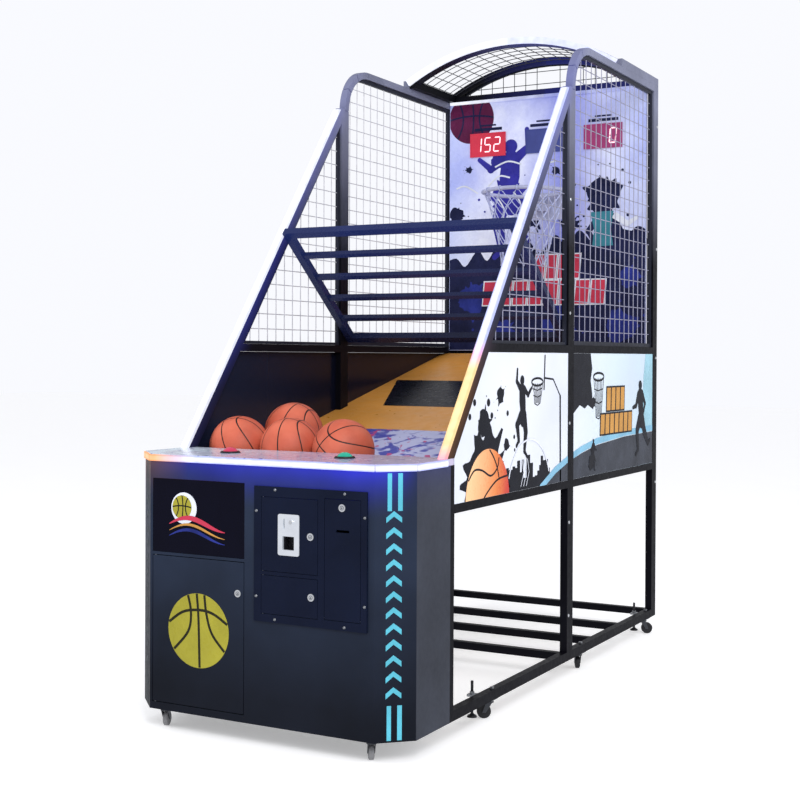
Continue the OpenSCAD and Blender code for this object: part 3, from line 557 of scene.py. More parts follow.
def mesh_of(name, bm, smooth=False):
    """The mesh of a bmesh, which is then freed."""
    mesh = bpy.data.meshes.new(name)
    bm.to_mesh(mesh)
    bm.free()
    if smooth:
        for polygon in mesh.polygons:
            polygon.use_smooth = True
    return mesh


def join_loops(bm, first, second):
    """Faces between two closed loops of points."""
    for i in range(len(first)):
        j = (i + 1) % len(first)
        bm.faces.new((first[i], first[j], second[j], second[i]))


def wires(name, paths, radius, material, closed=False):
    """Round bars along lists of points, as one mesh."""
    curve = bpy.data.curves.new(name, "CURVE")
    curve.dimensions = "3D"
    curve.bevel_depth = radius
    curve.bevel_resolution = 2
    curve.use_fill_caps = True
    for path in paths:
        spline = curve.splines.new("POLY")
        spline.points.add(len(path) - 1)
        for point, place in zip(spline.points, path):
            point.co = (*place, 1.0)
        spline.use_cyclic_u = closed
    holder = bpy.data.objects.new(name + "_curve", curve)
    mesh = bpy.data.meshes.new_from_object(holder)
    bpy.data.objects.remove(holder)
    bpy.data.curves.remove(curve)
    mesh.materials.clear()
    return put(name, mesh, material)


def rounded_open(points, steps=5):
    """A smooth open line through points."""
    ends = [points[0]] + list(points) + [points[-1]]
    out = []
    for i in range(len(points) - 1):
        p0, p1, p2, p3 = (Vector(q) for q in ends[i:i + 4])
        for j in range(steps):
            t = j / steps
            out.append(tuple(0.5 * (2 * p1 + (p2 - p0) * t + (2 * p0 - 5 * p1 + 4 * p2 - p3) * t * t
                                    + (3 * p1 - p0 - 3 * p2 + p3) * t ** 3)))
    return out + [tuple(points[-1])]


def turn(k, steps):
    """The angle of step k of a full turn."""
    return 2 * math.pi * k / steps


def ring(x, y, r, steps=48):
    return [(x + r * math.cos(a), y + r * math.sin(a)) for a in (turn(k, steps) for k in range(steps))]


def stroke(points, width):
    """The outline of an open line of a given width, or of widths per point."""
    pts = [Vector(p) for p in points]
    widths = width if isinstance(width, (list, tuple)) else [width] * len(pts)
    left, right = [], []
    for i, p in enumerate(pts):
        ahead = (pts[min(i + 1, len(pts) - 1)] - pts[max(i - 1, 0)]).normalized()
        side = Vector((-ahead.y, ahead.x)) * widths[i] / 2
        left.append(tuple(p + side))
        right.append(tuple(p - side))
    return left + right[::-1]


def arc(x, y, r, start, end, steps):
    angles = [math.radians(start + (end - start) * k / steps) for k in range(steps + 1)]
    return [(x + r * math.cos(a), y + r * math.sin(a)) for a in angles]


def splash(x, y, r, seed, fingers, reach):
    """An ink blot: a lumpy disc with thin fingers, and droplets thrown off beyond them."""
    rng = random.Random(seed)
    arms = [(turn(k + rng.uniform(-0.4, 0.4), fingers), reach * rng.random() ** 1.6,
             rng.uniform(0.05, 0.13)) for k in range(fingers)]
    phase = rng.uniform(0, 6)
    line = []
    for k in range(96):
        a = turn(k, 96)
        far = 0.84 + 0.07 * math.sin(3 * a + phase) + 0.05 * math.sin(5 * a - phase)
        for middle, length, wide in arms:
            off = (a - middle + math.pi) % (2 * math.pi) - math.pi
            far += length * math.exp(-(off / wide) ** 2)
        line.append((x + r * far * math.cos(a), y + r * far * math.sin(a)))
    drops = []
    for middle, length, wide in arms:
        far = r * (1.08 + length + rng.uniform(0.1, 0.3))
        if length > 0.3 * reach:
            drops.append([ring(x + far * math.cos(middle), y + far * math.sin(middle), r * wide * 0.7, 12)])
    return [[line]] + drops


def splashes(*spots):
    """Several splashes, each a tuple of what splash() takes."""
    return [shape for spot in spots for shape in splash(*spot)]


def plane(origin, across=(1, 0, 0), up=(0, 0, 1), outwards=1):
    """Where a picture lies: its origin, its two directions, and the side that shows."""
    a, u = Vector(across).normalized(), Vector(up).normalized()
    return Vector(origin), a, u, a.cross(u), outwards


def decal(name, shapes, where, ink, layer=1, window=None, body="machine"):
    """Thin printed sheets on a plane. Each shape is a list of lines in mm: its outline, then its holes."""
    origin, a, u, n, outwards = where
    half = n * INK_T / 2
    bm = bmesh.new()
    for order, shape in enumerate(shapes):
        # shapes that overlap lie on each other, not in one plane
        spot = origin + n * outwards * (layer * LAYER + order * OVERLAP)
        lines = [clip(line, window) for line in shape] if window else shape
        lines = [[spot + (a * p[0] + u * p[1]) * MM for p in line] for line in lines if len(line) > 2]
        if not lines:
            continue
        flat = [[Vector(((p - spot).dot(a), (p - spot).dot(u), 0)) for p in line] for line in lines]
        tops = [bm.verts.new(p + half) for line in lines for p in line]
        lows = [bm.verts.new(p - half) for line in lines for p in line]
        for i, j, k in tessellate_polygon(flat):
            bm.faces.new((tops[i], tops[j], tops[k]))
            bm.faces.new((lows[k], lows[j], lows[i]))
        start = 0
        for line in lines:
            end = start + len(line)
            join_loops(bm, tops[start:end], lows[start:end])
            start = end
    bmesh.ops.recalc_face_normals(bm, faces=bm.faces)
    return put(name, mesh_of(name, bm), INK[ink], body)


def clip(points, window):
    """An outline cut to a convex window, listed anticlockwise, without repeated points."""
    for i in range(len(window)):
        p, q = window[i - 1], window[i]
        out = []
        for j in range(len(points)):
            a, b = points[j - 1], points[j]
            da = (q[0] - p[0]) * (a[1] - p[1]) - (q[1] - p[1]) * (a[0] - p[0])
            db = (q[0] - p[0]) * (b[1] - p[1]) - (q[1] - p[1]) * (b[0] - p[0])
            if (da < 0) != (db < 0):
                t = da / (da - db)
                out.append((a[0] + t * (b[0] - a[0]), a[1] + t * (b[1] - a[1])))
            if db >= 0:
                out.append(tuple(b))
        points = out
    kept = [p for i, p in enumerate(points) if (Vector(p) - Vector(points[i - 1])).length > 0.05]
    return kept


def box(u0, v0, u1, v1, lean=0.0):
    """A rectangle in mm, leaning by an amount at its top."""
    return [(u0, v0), (u1, v0), (u1 + lean, v1), (u0 + lean, v1)]


def inset(points, d):
    """A convex outline, listed anticlockwise, drawn in by d."""
    count = len(points)
    out = []
    for i in range(count):
        p0, p1, p2 = Vector(points[i - 1]), Vector(points[i]), Vector(points[(i + 1) % count])
        a, b = (p1 - p0).normalized(), (p2 - p1).normalized()
        na, nb = Vector((-a.y, a.x)), Vector((-b.y, b.x))
        middle = (na + nb).normalized()
        out.append(tuple(p1 + middle * d / middle.dot(na)))
    return out


def crossings(points, axis, value):
    """Where the line with coordinate axis = value crosses a convex outline."""
    found = []
    for i in range(len(points)):
        p, q = points[i - 1], points[i]
        if (p[axis] - value) * (q[axis] - value) < 0:
            t = (value - p[axis]) / (q[axis] - p[axis])
            found.append(p[1 - axis] + t * (q[1 - axis] - p[1 - axis]))
    return min(found), max(found)


def band(name, outer, inner, place, thick):
    """A flat border between two outlines, as a closed solid. place maps (u, v, w) to the frame."""
    bm = bmesh.new()
    rows = []
    for line, w in ((outer, thick / 2), (inner, thick / 2), (inner, -thick / 2), (outer, -thick / 2)):
        rows.append([bm.verts.new(place(u, v, w)) for u, v in line])
    for r in range(4):
        join_loops(bm, rows[r], rows[(r + 1) % 4])
    bmesh.ops.recalc_face_normals(bm, faces=bm.faces)
    bmesh.ops.bevel(bm, geom=[e for e in bm.edges if e.calc_face_angle(0) > 1.2], offset=0.0008,
                    segments=2, affect="EDGES")
    return put(name, mesh_of(name, bm), MESH_FRAME)


# ---- wire mesh ----

PITCH = 60 * MM
WIRE_R = 1.9 * MM
MID_Y = Y(1370)
MESH_X = HALF_W - 15 * MM
RAIL_TOP = 1.322


def slant_y(z):
    return Y(SLANT_FOOT) + (z - DECK_TOP) / SLOPE


def grid_wires(outline, u0, v0, u1, v1):
    """Crossing wires on the mesh pitch, clipped to a convex outline, as two layers."""
    layers = []
    for axis, start, end in ((0, u0, u1), (1, v0, v1)):
        count = round((end - start) / PITCH)
        places = [start + i * (end - start) / count for i in range(1, count)]
        layers.append([[((p, q), (q, p))[axis] for q in crossings(outline, axis, p)] for p in places])
    return layers


def mesh_panel(name, outline, border, side, u0, v0, u1, v1):
    def place(u, v, w):
        return (side * MESH_X + w, u, v)

    inner = inset(outline, border)
    upright, level = grid_wires(inner, u0, v0, u1, v1)
    paths = [[place(*p, WIRE_R * 0.9) for p in line] for line in upright]
    paths += [[place(*p, -WIRE_R * 0.9) for p in line] for line in level]
    return [
        band(name + "_border", outline, inner, place, 14 * MM),
        wires(name + "_wires", paths, WIRE_R, MESH_WIRE),
    ]


def side_mesh():
    gap = 0.5 * MM
    low = RAIL_TOP + gap
    top = FRAME_TOP - TUBE - gap
    r = 169.5 * MM
    fore = Y(1400.9) + gap
    rear = Y(2430) - gap
    corner = [(fore + r + r * math.cos(a), top - r + r * math.sin(a))
              for a in (math.pi / 2 + k * math.pi / 2 / 12 for k in range(13))]
    hoop_frame = [(fore, low), (rear, low), (rear, top)] + corner
    near = MID_Y - gap
    lean = gap / math.sin(SLANT)
    tip = DECK_TOP + (near - lean - Y(SLANT_FOOT)) * SLOPE
    foot = slant_y(low) + lean
    triangle = [(foot, low), (near, low), (near, tip)]
    pieces = []
    for side, word in ((-1, "left"), (1, "right")):
        pieces += mesh_panel("rear_mesh_" + word, hoop_frame, 17.5 * MM, side, fore, low, rear, top)
        pieces += mesh_panel("front_mesh_" + word, triangle, 11.5 * MM, side, foot, low, near, tip)
    for piece in pieces:
        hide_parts("side_mesh")


def roof_mesh():
    """Wires bent over the vault, straight wires along it, and the half-moon at the back."""
    r = ARCH_R - 15 * MM
    y0, y1 = Y(2046), Y(2429)
    edge = math.asin((HALF_W - 60 * MM) / r)
    arcs, runs = [], []
    rows = round((y1 - y0) / PITCH)
    for j in range(rows + 1):
        y = y0 + 4 * MM + j * (y1 - y0 - 8 * MM) / rows
        arcs.append([(r * math.sin(a), y, ARCH_Z + r * math.cos(a))
                     for a in (edge * (k / 12 - 1) for k in range(25))])
    columns = round(2 * edge * r / PITCH)
    for i in range(columns + 1):
        a = -edge + 2 * edge * i / columns
        runs.append([((r - WIRE_R * 1.8) * math.sin(a), y, ARCH_Z + (r - WIRE_R * 1.8) * math.cos(a))
                     for y in (y0, y1)])
    vault = wires("roof_wires", arcs + runs, WIRE_R, ROOF_WIRE)
    # half-moon
    y = Y(2460)
    low = FRAME_TOP + 1 * MM
    half = HALF_W - 62 * MM
    inner_r = ARCH_R - 31 * MM
    outline = [(-half, low), (half, low)]
    top = math.acos((low - ARCH_Z + 10 * MM) / inner_r)
    top = min(top, math.asin(half / inner_r))
    outline += [(inner_r * math.sin(a), ARCH_Z + inner_r * math.cos(a))
                for a in (top * (1 - k / 12) for k in range(25))]
    inner = inset(outline, 7 * MM)
    upright, level = grid_wires(inner, -half, low, half, low + 3 * PITCH)
    paths = [[(u, y + WIRE_R, v) for u, v in line] for line in upright]
    paths += [[(u, y - WIRE_R, v) for u, v in line] for line in level if line[0] != line[1]]
    moon = wires("half_moon_wires", paths, WIRE_R, ROOF_WIRE)
    border = band("half_moon_border", outline, inner, lambda u, v, w: (u, y + w, v), 8 * MM)
    for piece in (vault, moon, border):
        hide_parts("roof_mesh")


# ---- hoop, net and balls ----

RIM = Vector((0, Y(2180), 2.045))
RIM_R = 190 * MM


def net():
    """Knotted cord net: strands cross and knot from one row of loops to the next."""
    strands = 14
    rows = 7
    top, bottom = RIM.z - 2 * MM, RIM.z - 338 * MM
    rng = random.Random(4)

    def knot(row, k):
        t = row / rows
        radius = RIM_R - (RIM_R - 108 * MM) * min(1, t * 1.15) ** 0.8
        radius += rng.uniform(-1, 1) * 3 * MM * (row > 0)
        a = turn(k + 0.5 * (row % 2), strands)
        z = top + (bottom - top) * t + rng.uniform(-1, 1) * 4 * MM * (row > 0)
        return Vector((radius * math.cos(a), radius * math.sin(a) + RIM.y, z))

    knots = [[knot(row, k) for k in range(strands)] for row in range(rows + 1)]
    paths = []
    for row in range(rows):
        for k in range(strands):
            start = knots[row][k]
            steps = (k, (k - 1) % strands) if row % 2 == 0 else ((k + 1) % strands, k)
            for other in steps:
                end = knots[row + 1][other]
                middle = (start + end) / 2 + Vector((0, 0, -3 * MM))
                paths.append([start, middle, end])
    cords = wires("net_cords", paths, 2.2 * MM, NET_CORD)
    bm = bmesh.new()
    for row in knots[1:]:
        for spot in row:
            bmesh.ops.create_icosphere(bm, subdivisions=2, radius=4.2 * MM, matrix=Matrix.Translation(spot)
                                       @ Matrix.Diagonal((1, 1, 1.3, 1)))
    ties = put("net_knots", mesh_of("net_knots", bm, smooth=True), NET_CORD)
    # loops that hold the top row to the ring
    hooks = []
    for k in range(strands):
        a = turn(k, strands)
        out = Vector((math.cos(a), math.sin(a), 0))
        centre = RIM + out * RIM_R
        hooks.append([centre + out * 11.5 * MM * math.cos(b) + Vector((0, 0, 11.5 * MM * math.sin(b)))
                      for b in (turn(j, 16) for j in range(16))])
    loops = wires("net_loops", hooks, 2.2 * MM, NET_CORD, closed=True)
    for piece in (cords, ties, loops):
        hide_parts("net")


def seam_depth(p):
    """0 on a seam of the ball, growing away from it. p is a unit vector."""
    oval = abs(p.x) - 0.46 - 0.55 * p.z * p.z
    return min(abs(p.x), abs(p.z), abs(oval) * 0.9)


def ball_mesh():
    """A sphere of even squares with sunk seams."""
    bm = bmesh.new()
    bmesh.ops.create_cube(bm, size=2.0)
    bmesh.ops.subdivide_edges(bm, edges=bm.edges[:], cuts=59, use_grid_fill=True)
    radius = 111 * MM
    for vert in bm.verts:
        # even out the squares before rounding them
        p = Vector([math.tan(c * math.pi / 4) for c in vert.co]).normalized()
        sunk = 1.3 * MM * max(0.0, 1 - (seam_depth(p) / 0.036) ** 2)
        vert.co = p * (radius - sunk)
    mesh = mesh_of("basketball", bm, smooth=True)
    mesh.materials.append(ball_skin())
    return mesh


def ball_skin():
    """Pebbled orange rubber with black seams."""
    s = Shader("basketball", (0.62, 0.17, 0.08), 0.55)
    unit = s.vector_maths("NORMALIZE", s.position())
    x, _, z = s.xyz(unit)
    ax = s.size(x)
    az = s.size(z)
    oval = s.minus(s.minus(ax, 0.46), s.times(s.times(z, z), 0.55))
    near = s.maths("MINIMUM", s.maths("MINIMUM", ax, az), s.times(s.size(oval), 0.9))
    wobble = s.maths("ADD", near, s.patchy(60.0, 2.0, -0.002, 0.002))
    seam = s.span(wobble, 0.017, 0.024, 1.0, 0.0)
    worn = s.span(s.noise(14.0, 5.0), 0.4, 0.75, 0.0, 0.4)
    skin = s.blend(worn, s.uneven((0.6, 0.115, 0.06), 0.16, 9.0), (0.7, 0.22, 0.13))
    s.base(s.blend(seam, skin, (0.008, 0.006, 0.006)))
    pebbles = s.cells(330.0)
    s.put("Roughness", s.span(pebbles, 0.0, 0.6, 0.42, 0.62))
    height = s.times(s.minus(1.0, pebbles), s.minus(1.0, seam))
    s.bump(height, 0.5, 0.0006)
    return s.mat


def balls():
    mesh = ball_mesh()
    # how each ball is turned, in degrees
    turns = {"ball_left": (110, -25, 7), "ball_middle": (102, -5, 9), "ball_right": (162, -53, -5),
             "ball_back": (95, 12, 4)}
    for name, angles in turns.items():
        low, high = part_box(name)
        obj = link("basketball_" + name[5:], mesh)
        obj.location = (Vector(low) + Vector(high)) / 2
        obj.rotation_euler = [math.radians(a) for a in angles]
        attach(obj, name)
        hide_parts(name)


# ---- printed art ----

LAYER = 0.4 * MM
INK_T = 0.1 * MM
OVERLAP = 0.006 * MM


def ball_lines(x, y, r, width):
    """Seams of a flat ball picture."""
    upright = [(x + r * 0.1 * (1 - t * t), y + r * t * 0.985) for t in (k / 6 - 1 for k in range(13))]
    level = [(x + r * t * 0.985, y + r * 0.12 * (1 - t * t)) for t in (k / 6 - 1 for k in range(13))]
    sides = [[(x + s * r * (0.36 + 0.25 * t * t), y + r * t * 0.775) for t in (k / 6 - 1 for k in range(13))]
             for s in (-1, 1)]
    return [[stroke(line, width)] for line in [upright, level] + sides]


# seams of the two big ball pictures, in radii from the ball's centre
DOOR_SEAMS = [[(-0.05, 0.99), (0.01, 0.3), (0.05, -0.985)],
              [(-0.34, 0.93), (-0.24, 0.47), (-0.33, -0.04), (-0.8, -0.56)],
              [(0.2, 0.97), (0.27, 0.47), (0.45, -0.04), (0.86, -0.48)],
              [(-0.97, 0.16), (-0.5, 0.47), (0.05, 0.56), (0.5, 0.49), (0.95, 0.25)]]
PANEL_SEAMS = [[(0.06, 0.98), (0.26, 0.81), (0.42, 0.6), (0.52, 0.36)],
               [(0.5, 0.8), (0.42, 0.6), (0.12, 0.47), (-0.28, 0.6), (-0.62, 0.62), (-0.88, 0.44)],
               [(0.9, 0.42), (0.4, 0.36), (-0.1, 0.12), (-0.36, -0.1)]]


def ball_seams(x, y, r, lines, width):
    """Curved seams through the given points of a ball picture."""
    return [[stroke(rounded_open([(x + r * u, y + r * v) for u, v in line], 6), width)] for line in lines]


JUMP = [
    # limbs as points and widths, in heights of the figure
    ([(0.0, 0.88), (0.01, 0.74), (0.03, 0.6), (0.03, 0.5)], [0.17, 0.19, 0.16, 0.19]),
    ([(-0.06, 0.9), (-0.17, 0.99), (-0.15, 1.14)], [0.09, 0.07, 0.04]),
    ([(0.07, 0.89), (0.19, 0.81), (0.3, 0.9)], [0.09, 0.07, 0.04]),
    ([(-0.02, 0.56), (-0.15, 0.44), (-0.1, 0.24), (-0.17, 0.18)], [0.15, 0.12, 0.07, 0.05]),
    ([(0.06, 0.56), (0.12, 0.34), (0.08, 0.1), (0.15, 0.04)], [0.15, 0.12, 0.07, 0.05]),
]
RUN = [
    ([(0.04, 0.8), (0.02, 0.66), (0.0, 0.54), (-0.01, 0.46)], [0.18, 0.19, 0.16, 0.2]),
    ([(-0.03, 0.82), (-0.15, 0.68), (-0.08, 0.55)], [0.09, 0.07, 0.045]),
    ([(0.11, 0.81), (0.2, 0.66), (0.32, 0.64)], [0.09, 0.07, 0.045]),
    ([(-0.03, 0.5), (-0.13, 0.32), (-0.28, 0.16), (-0.35, 0.2)], [0.16, 0.13, 0.07, 0.05]),
    ([(0.04, 0.5), (0.16, 0.34), (0.12, 0.1), (0.2, 0.04)], [0.16, 0.13, 0.07, 0.05]),
]


def figure(pose, x, y, tall, flip=1):
    """A plain abstract player: tapered limbs and a round head."""
    shapes = []
    for points, widths in pose:
        line = [(x + flip * u * tall, y + v * tall) for u, v in points]
        shapes.append([stroke(line, [w * tall for w in widths])])
        for (u, v), w in zip(line, widths):
            shapes.append([ring(u, v, w * tall / 2, 12)])
    top_u, top_v = pose[0][0][0]
    shapes.append([ring(x + flip * top_u * tall, y + (top_v + 0.12) * tall, 0.062 * tall, 20)])
    return shapes


def hoop_picture(x, y, r, drop, width):
    """A ring seen from the side with its loose net."""
    ring_line = [(x + r * math.cos(b), y + r * 0.26 * math.sin(b))
                 for b in (k * math.pi / 15 for k in range(31))]
    lines = [[stroke(ring_line, width)]]
    for k in range(7):
        u = -1 + k / 3
        lines.append([stroke([(x + u * r * 0.95, y - 6), (x + u * r * 0.66 + 6, y - drop * 0.5),
                              (x + u * r * 0.5, y - drop)], width * 0.5)])
    for v in (0.3, 0.62, 1.0):
        half = r * (1 - 0.48 * v)
        low = y - drop * v
        lines.append([stroke([(x - half, low), (x, low - 8), (x + half, low)], width * 0.5)])
    return lines


def skyline(y0, y1, base, tallest, seed):
    """Blocks of a made-up town, as one outline."""
    rng = random.Random(seed)
    line = [(y0, base)]
    y = y0
    while y < y1 - 12:
        wide = rng.uniform(14, 34)
        high = base + tallest * rng.uniform(0.3, 1.0)
        end = min(y + wide, y1)
        line += [(y, high), (end, high)]
        y = end
    line.append((y1, base))
    kept = [p for i, p in enumerate(line) if i == 0 or p != line[i - 1]]
    return [kept]


def cabinet_art():
    # each bevel starts this far from the middle and runs this far out and back, in mm
    start, wide, deep = 440, 100, 96
    reach = math.hypot(wide, deep)
    for word, s in (("right", 1), ("left", -1)):
        side = plane((s * start * MM, FRONT, 0), (s * wide / reach, deep / reach, 0), (0, 0, 1), s)
        bars = [[box(u0, z0, u1, z1)]
                for u0, u1 in ((42, 56), (76, 91)) for z0, z1 in ((793, 911), (76, 185))]
        chevrons = [[[(38, z), (63, z + 20), (89, z), (89, z + 17), (63, z + 37), (38, z + 17)]]
                    for z in range(206, 760, 50)]
        # painted light: the right stripes are cyan with a painted glow, the left ones a shaded copy of the
        # cyan, as painted shade
        decal("bevel_stripes_" + word, bars + chevrons, side, "cyan" if s > 0 else "shaded_cyan")
    front = plane((0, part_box("service_door")[0][1], 0))
    x, z, r = -236, 354, 125
    decal("door_ball", [[ring(x, z, r)]], front, "yellow", body="service_door")
    decal("door_ball_seams", ball_seams(x, z, r, DOOR_SEAMS, 9), front, "seam", 2, body="service_door")
    sign = plane((0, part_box("sign_panel")[0][1], 0))
    x, z, r = -306, 764, 40
    decal("sign_ball", [[ring(x, z, r)]], sign, "yellow", 2)
    decal("sign_ball_seams", ball_lines(x, z, r, 4), sign, "black", 3)
    decal("sign_halo", [[ring(x + 8, z - 3, r + 13)]], sign, "white", 1)
    waves = (("red", "red", 58, 17), ("amber", "amber", 80, 9), ("blue", "royal", 98, 12))
    for name, ink, drop, width in waves:
        line = [(x - 52 + 230 * t, z - drop + 26 * math.sin(t * 4.4) * (1 - 0.3 * t))
                for t in (k / 16 for k in range(17))]
        widths = [width * math.sin(math.pi * (0.06 + 0.9 * k / 16)) for k in range(17)]
        decal("sign_wave_" + name, [[stroke(line, widths)]], sign, ink, 4)


def lock_faces():
    """A turned groove and a key slot on each cam lock, drawn as black sheets: painted shade in place of the
    recesses.
    """
    for name in ("service_lock", "coin_lock", "cash_lock", "ticket_lock"):
        x, z = front_centre(name)
        face = plane((x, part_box(name)[0][1], z))
        groove = [ring(0, 0, 6.9, 32), ring(0, 0, 5.7, 32)[::-1]]
        slot = [stroke(arc(0, 0, 3.2, 200, 340, 8), 0.9)]
        decal(name + "_face", [groove, slot, [box(-1.0, -3.6, 1.0, 3.0)]], face, "black", body=name)


def frame_bolts():
    """Domed bolt heads where the two lengths of each side frame are bolted together."""
    r, high, steps = 6.5 * MM, 3.4 * MM, 20
    rings = [(1.0, 0.0), (1.0, 0.35), (0.9, 0.65), (0.62, 0.9), (0.3, 1.0)]
    heights = {1385: (250, 620, 1014, 1450, 1900), 2475: (695, 1273, 1780, 2350)}
    bm = bmesh.new()
    for side in (-1, 1):
        for y, z in [(post, v) for post in heights for v in heights[post]]:
            rows = []
            for wide, out in rings:
                rows.append([bm.verts.new((side * (HALF_W + (out * high if out else -0.3 * MM)),
                                           Y(y) + r * wide * math.cos(a), z * MM + r * wide * math.sin(a)))
                             for a in (turn(k, steps) for k in range(steps))])
            for lower, upper in zip(rows, rows[1:]):
                join_loops(bm, lower, upper)
            bm.faces.new(rows[0])
            bm.faces.new(rows[-1])
    bmesh.ops.recalc_face_normals(bm, faces=bm.faces)
    put("frame_bolts", mesh_of("frame_bolts", bm), CHROME)


def front_centre(name):
    """Middle of the foremost points of a node, as x and z."""
    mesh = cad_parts[name].data
    fore = min(v.co.y for v in mesh.vertices)
    near = [v.co for v in mesh.vertices if v.co.y < fore + 0.5 * MM]
    xs, zs = [c.x for c in near], [c.z for c in near]
    return (min(xs) + max(xs)) / 2, (min(zs) + max(zs)) / 2


def side_art():
    low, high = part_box("side_panels")
    z0, z1 = low[2] / MM + 0.6, high[2] / MM - 0.6
    lean = 4
    knee = DECK_TOP / MM
    front_y = 399

    def edge(z):
        return SLANT_FOOT + (z - knee) / SLOPE + lean

    knee_z = knee + (front_y - SLANT_FOOT - lean) * SLOPE
    fore = [(front_y, z0), (1369, z0), (1369, z1), (edge(z1), z1), (front_y, max(z0, knee_z))]
    rear = box(1432, z0, 2428, z1)
    for word, s in (("right", 1), ("left", -1)):
        side = plane((s * (HALF_W - 1 * MM), FRONT, 0), (0, 1, 0), (0, 0, 1), s)

        def ink(name, shapes, color, layer, window=fore):
            decal("panel_" + name + "_" + word, shapes, side, color, layer, window)

        # front panel: a big ball in a splash, a jumper, a post and hoop, and a town
        ink("splash", splashes((600, 850, 168, 3, 20, 0.5), (588, 1046, 56, 6, 9, 0.6),
                               (724, 1140, 34, 7, 7, 0.8), (778, 962, 26, 8, 6, 0.5)), "black", 1)
        ink("ball", [[ring(622, 776, 180, 64)]], "ball", 2)
        ink("ball_seams", ball_seams(622, 776, 180, PANEL_SEAMS, 7), "black", 3)
        ink("jumper", figure(JUMP, 915, 900, 290), "black", 3)
        ink("town", [skyline(776, 1185, z0, 128, 11)], "black", 1)
        ink("arc", [[stroke(arc(985, 770, 200, 20, 160, 20), 7)]]
            + [[stroke([(x, 800), (x + 26, 850), (x + 10, 900)], 4)] for x in (905, 930, 955)], "white", 4)
        post = [[box(1286, z0, 1300, 1128, -6)], [stroke([(1290, 1122), (1215, 1190), (1128, 1196)], 7)],
                [box(1118, 1150, 1128, 1284, 9)]]
        ink("post", post + hoop_picture(1058, 1182, 54, 80, 8), "black", 2)
        swoosh = [(1090, 780), (1240, 838), (1371, 872), (1520, 902), (1700, 926), (2036, 944), (2440, 950)]
        ink("band_fore", [[stroke(swoosh, 26)]], "blue", 3)
        ink("hill_fore", [[[(1100, 780), (1240, 826), (1380, 862), (1380, 780)]]], "grey", 2)
        ink("band_rear", [[stroke(swoosh, 26)]], "blue", 3, rear)
        hill = [(1420, 780), (1420, 868)] + [(y, z - 16) for y, z in swoosh[3:]] + [(2440, 780)]
        ink("hill", [[hill]], "grey", 1, rear)
        ink("sky", [[[(2330, 1300), (2300, 1180), (2290, 1060), (2210, 945), (2440, 945), (2440, 1300)]]],
            "sky", 1, rear)
        ink("corner", [[[(1420, 1300), (1420, 1046), (1500, 1082), (1556, 1066), (1590, 1080), (1652, 1060),
                         (1640, 1128), (1622, 1180), (1640, 1230), (1618, 1300)]]] 
            + splashes((1660, 1090, 24, 12, 8, 0.8)),
            "black", 1, rear)
        ink("hoop", hoop_picture(1716, 1194, 62, 168, 9), "black", 2, rear)
        rows = ((1812, 1050, 4, 96), (1738, 952, 7, 82))
        for name, grow, ink_used, layer in (("blocks_edge", 7, "black", 4), ("blocks", 0, "amber", 5)):
            ink(name, [[box(y + k * 58 - grow, z - grow, y + k * 58 + 46 + grow, z + tall + grow, 4)]
                       for y, z, count, tall in rows for k in range(count)], ink_used, layer, rear)
        ink("runner", figure(RUN, 2268, 826, 352, -1), "black", 4, rear)
        ink("small_runner", figure(RUN, 1650, 800, 140) + splashes((1632, 840, 34, 14, 9, 0.7)),
            "black", 4, rear)


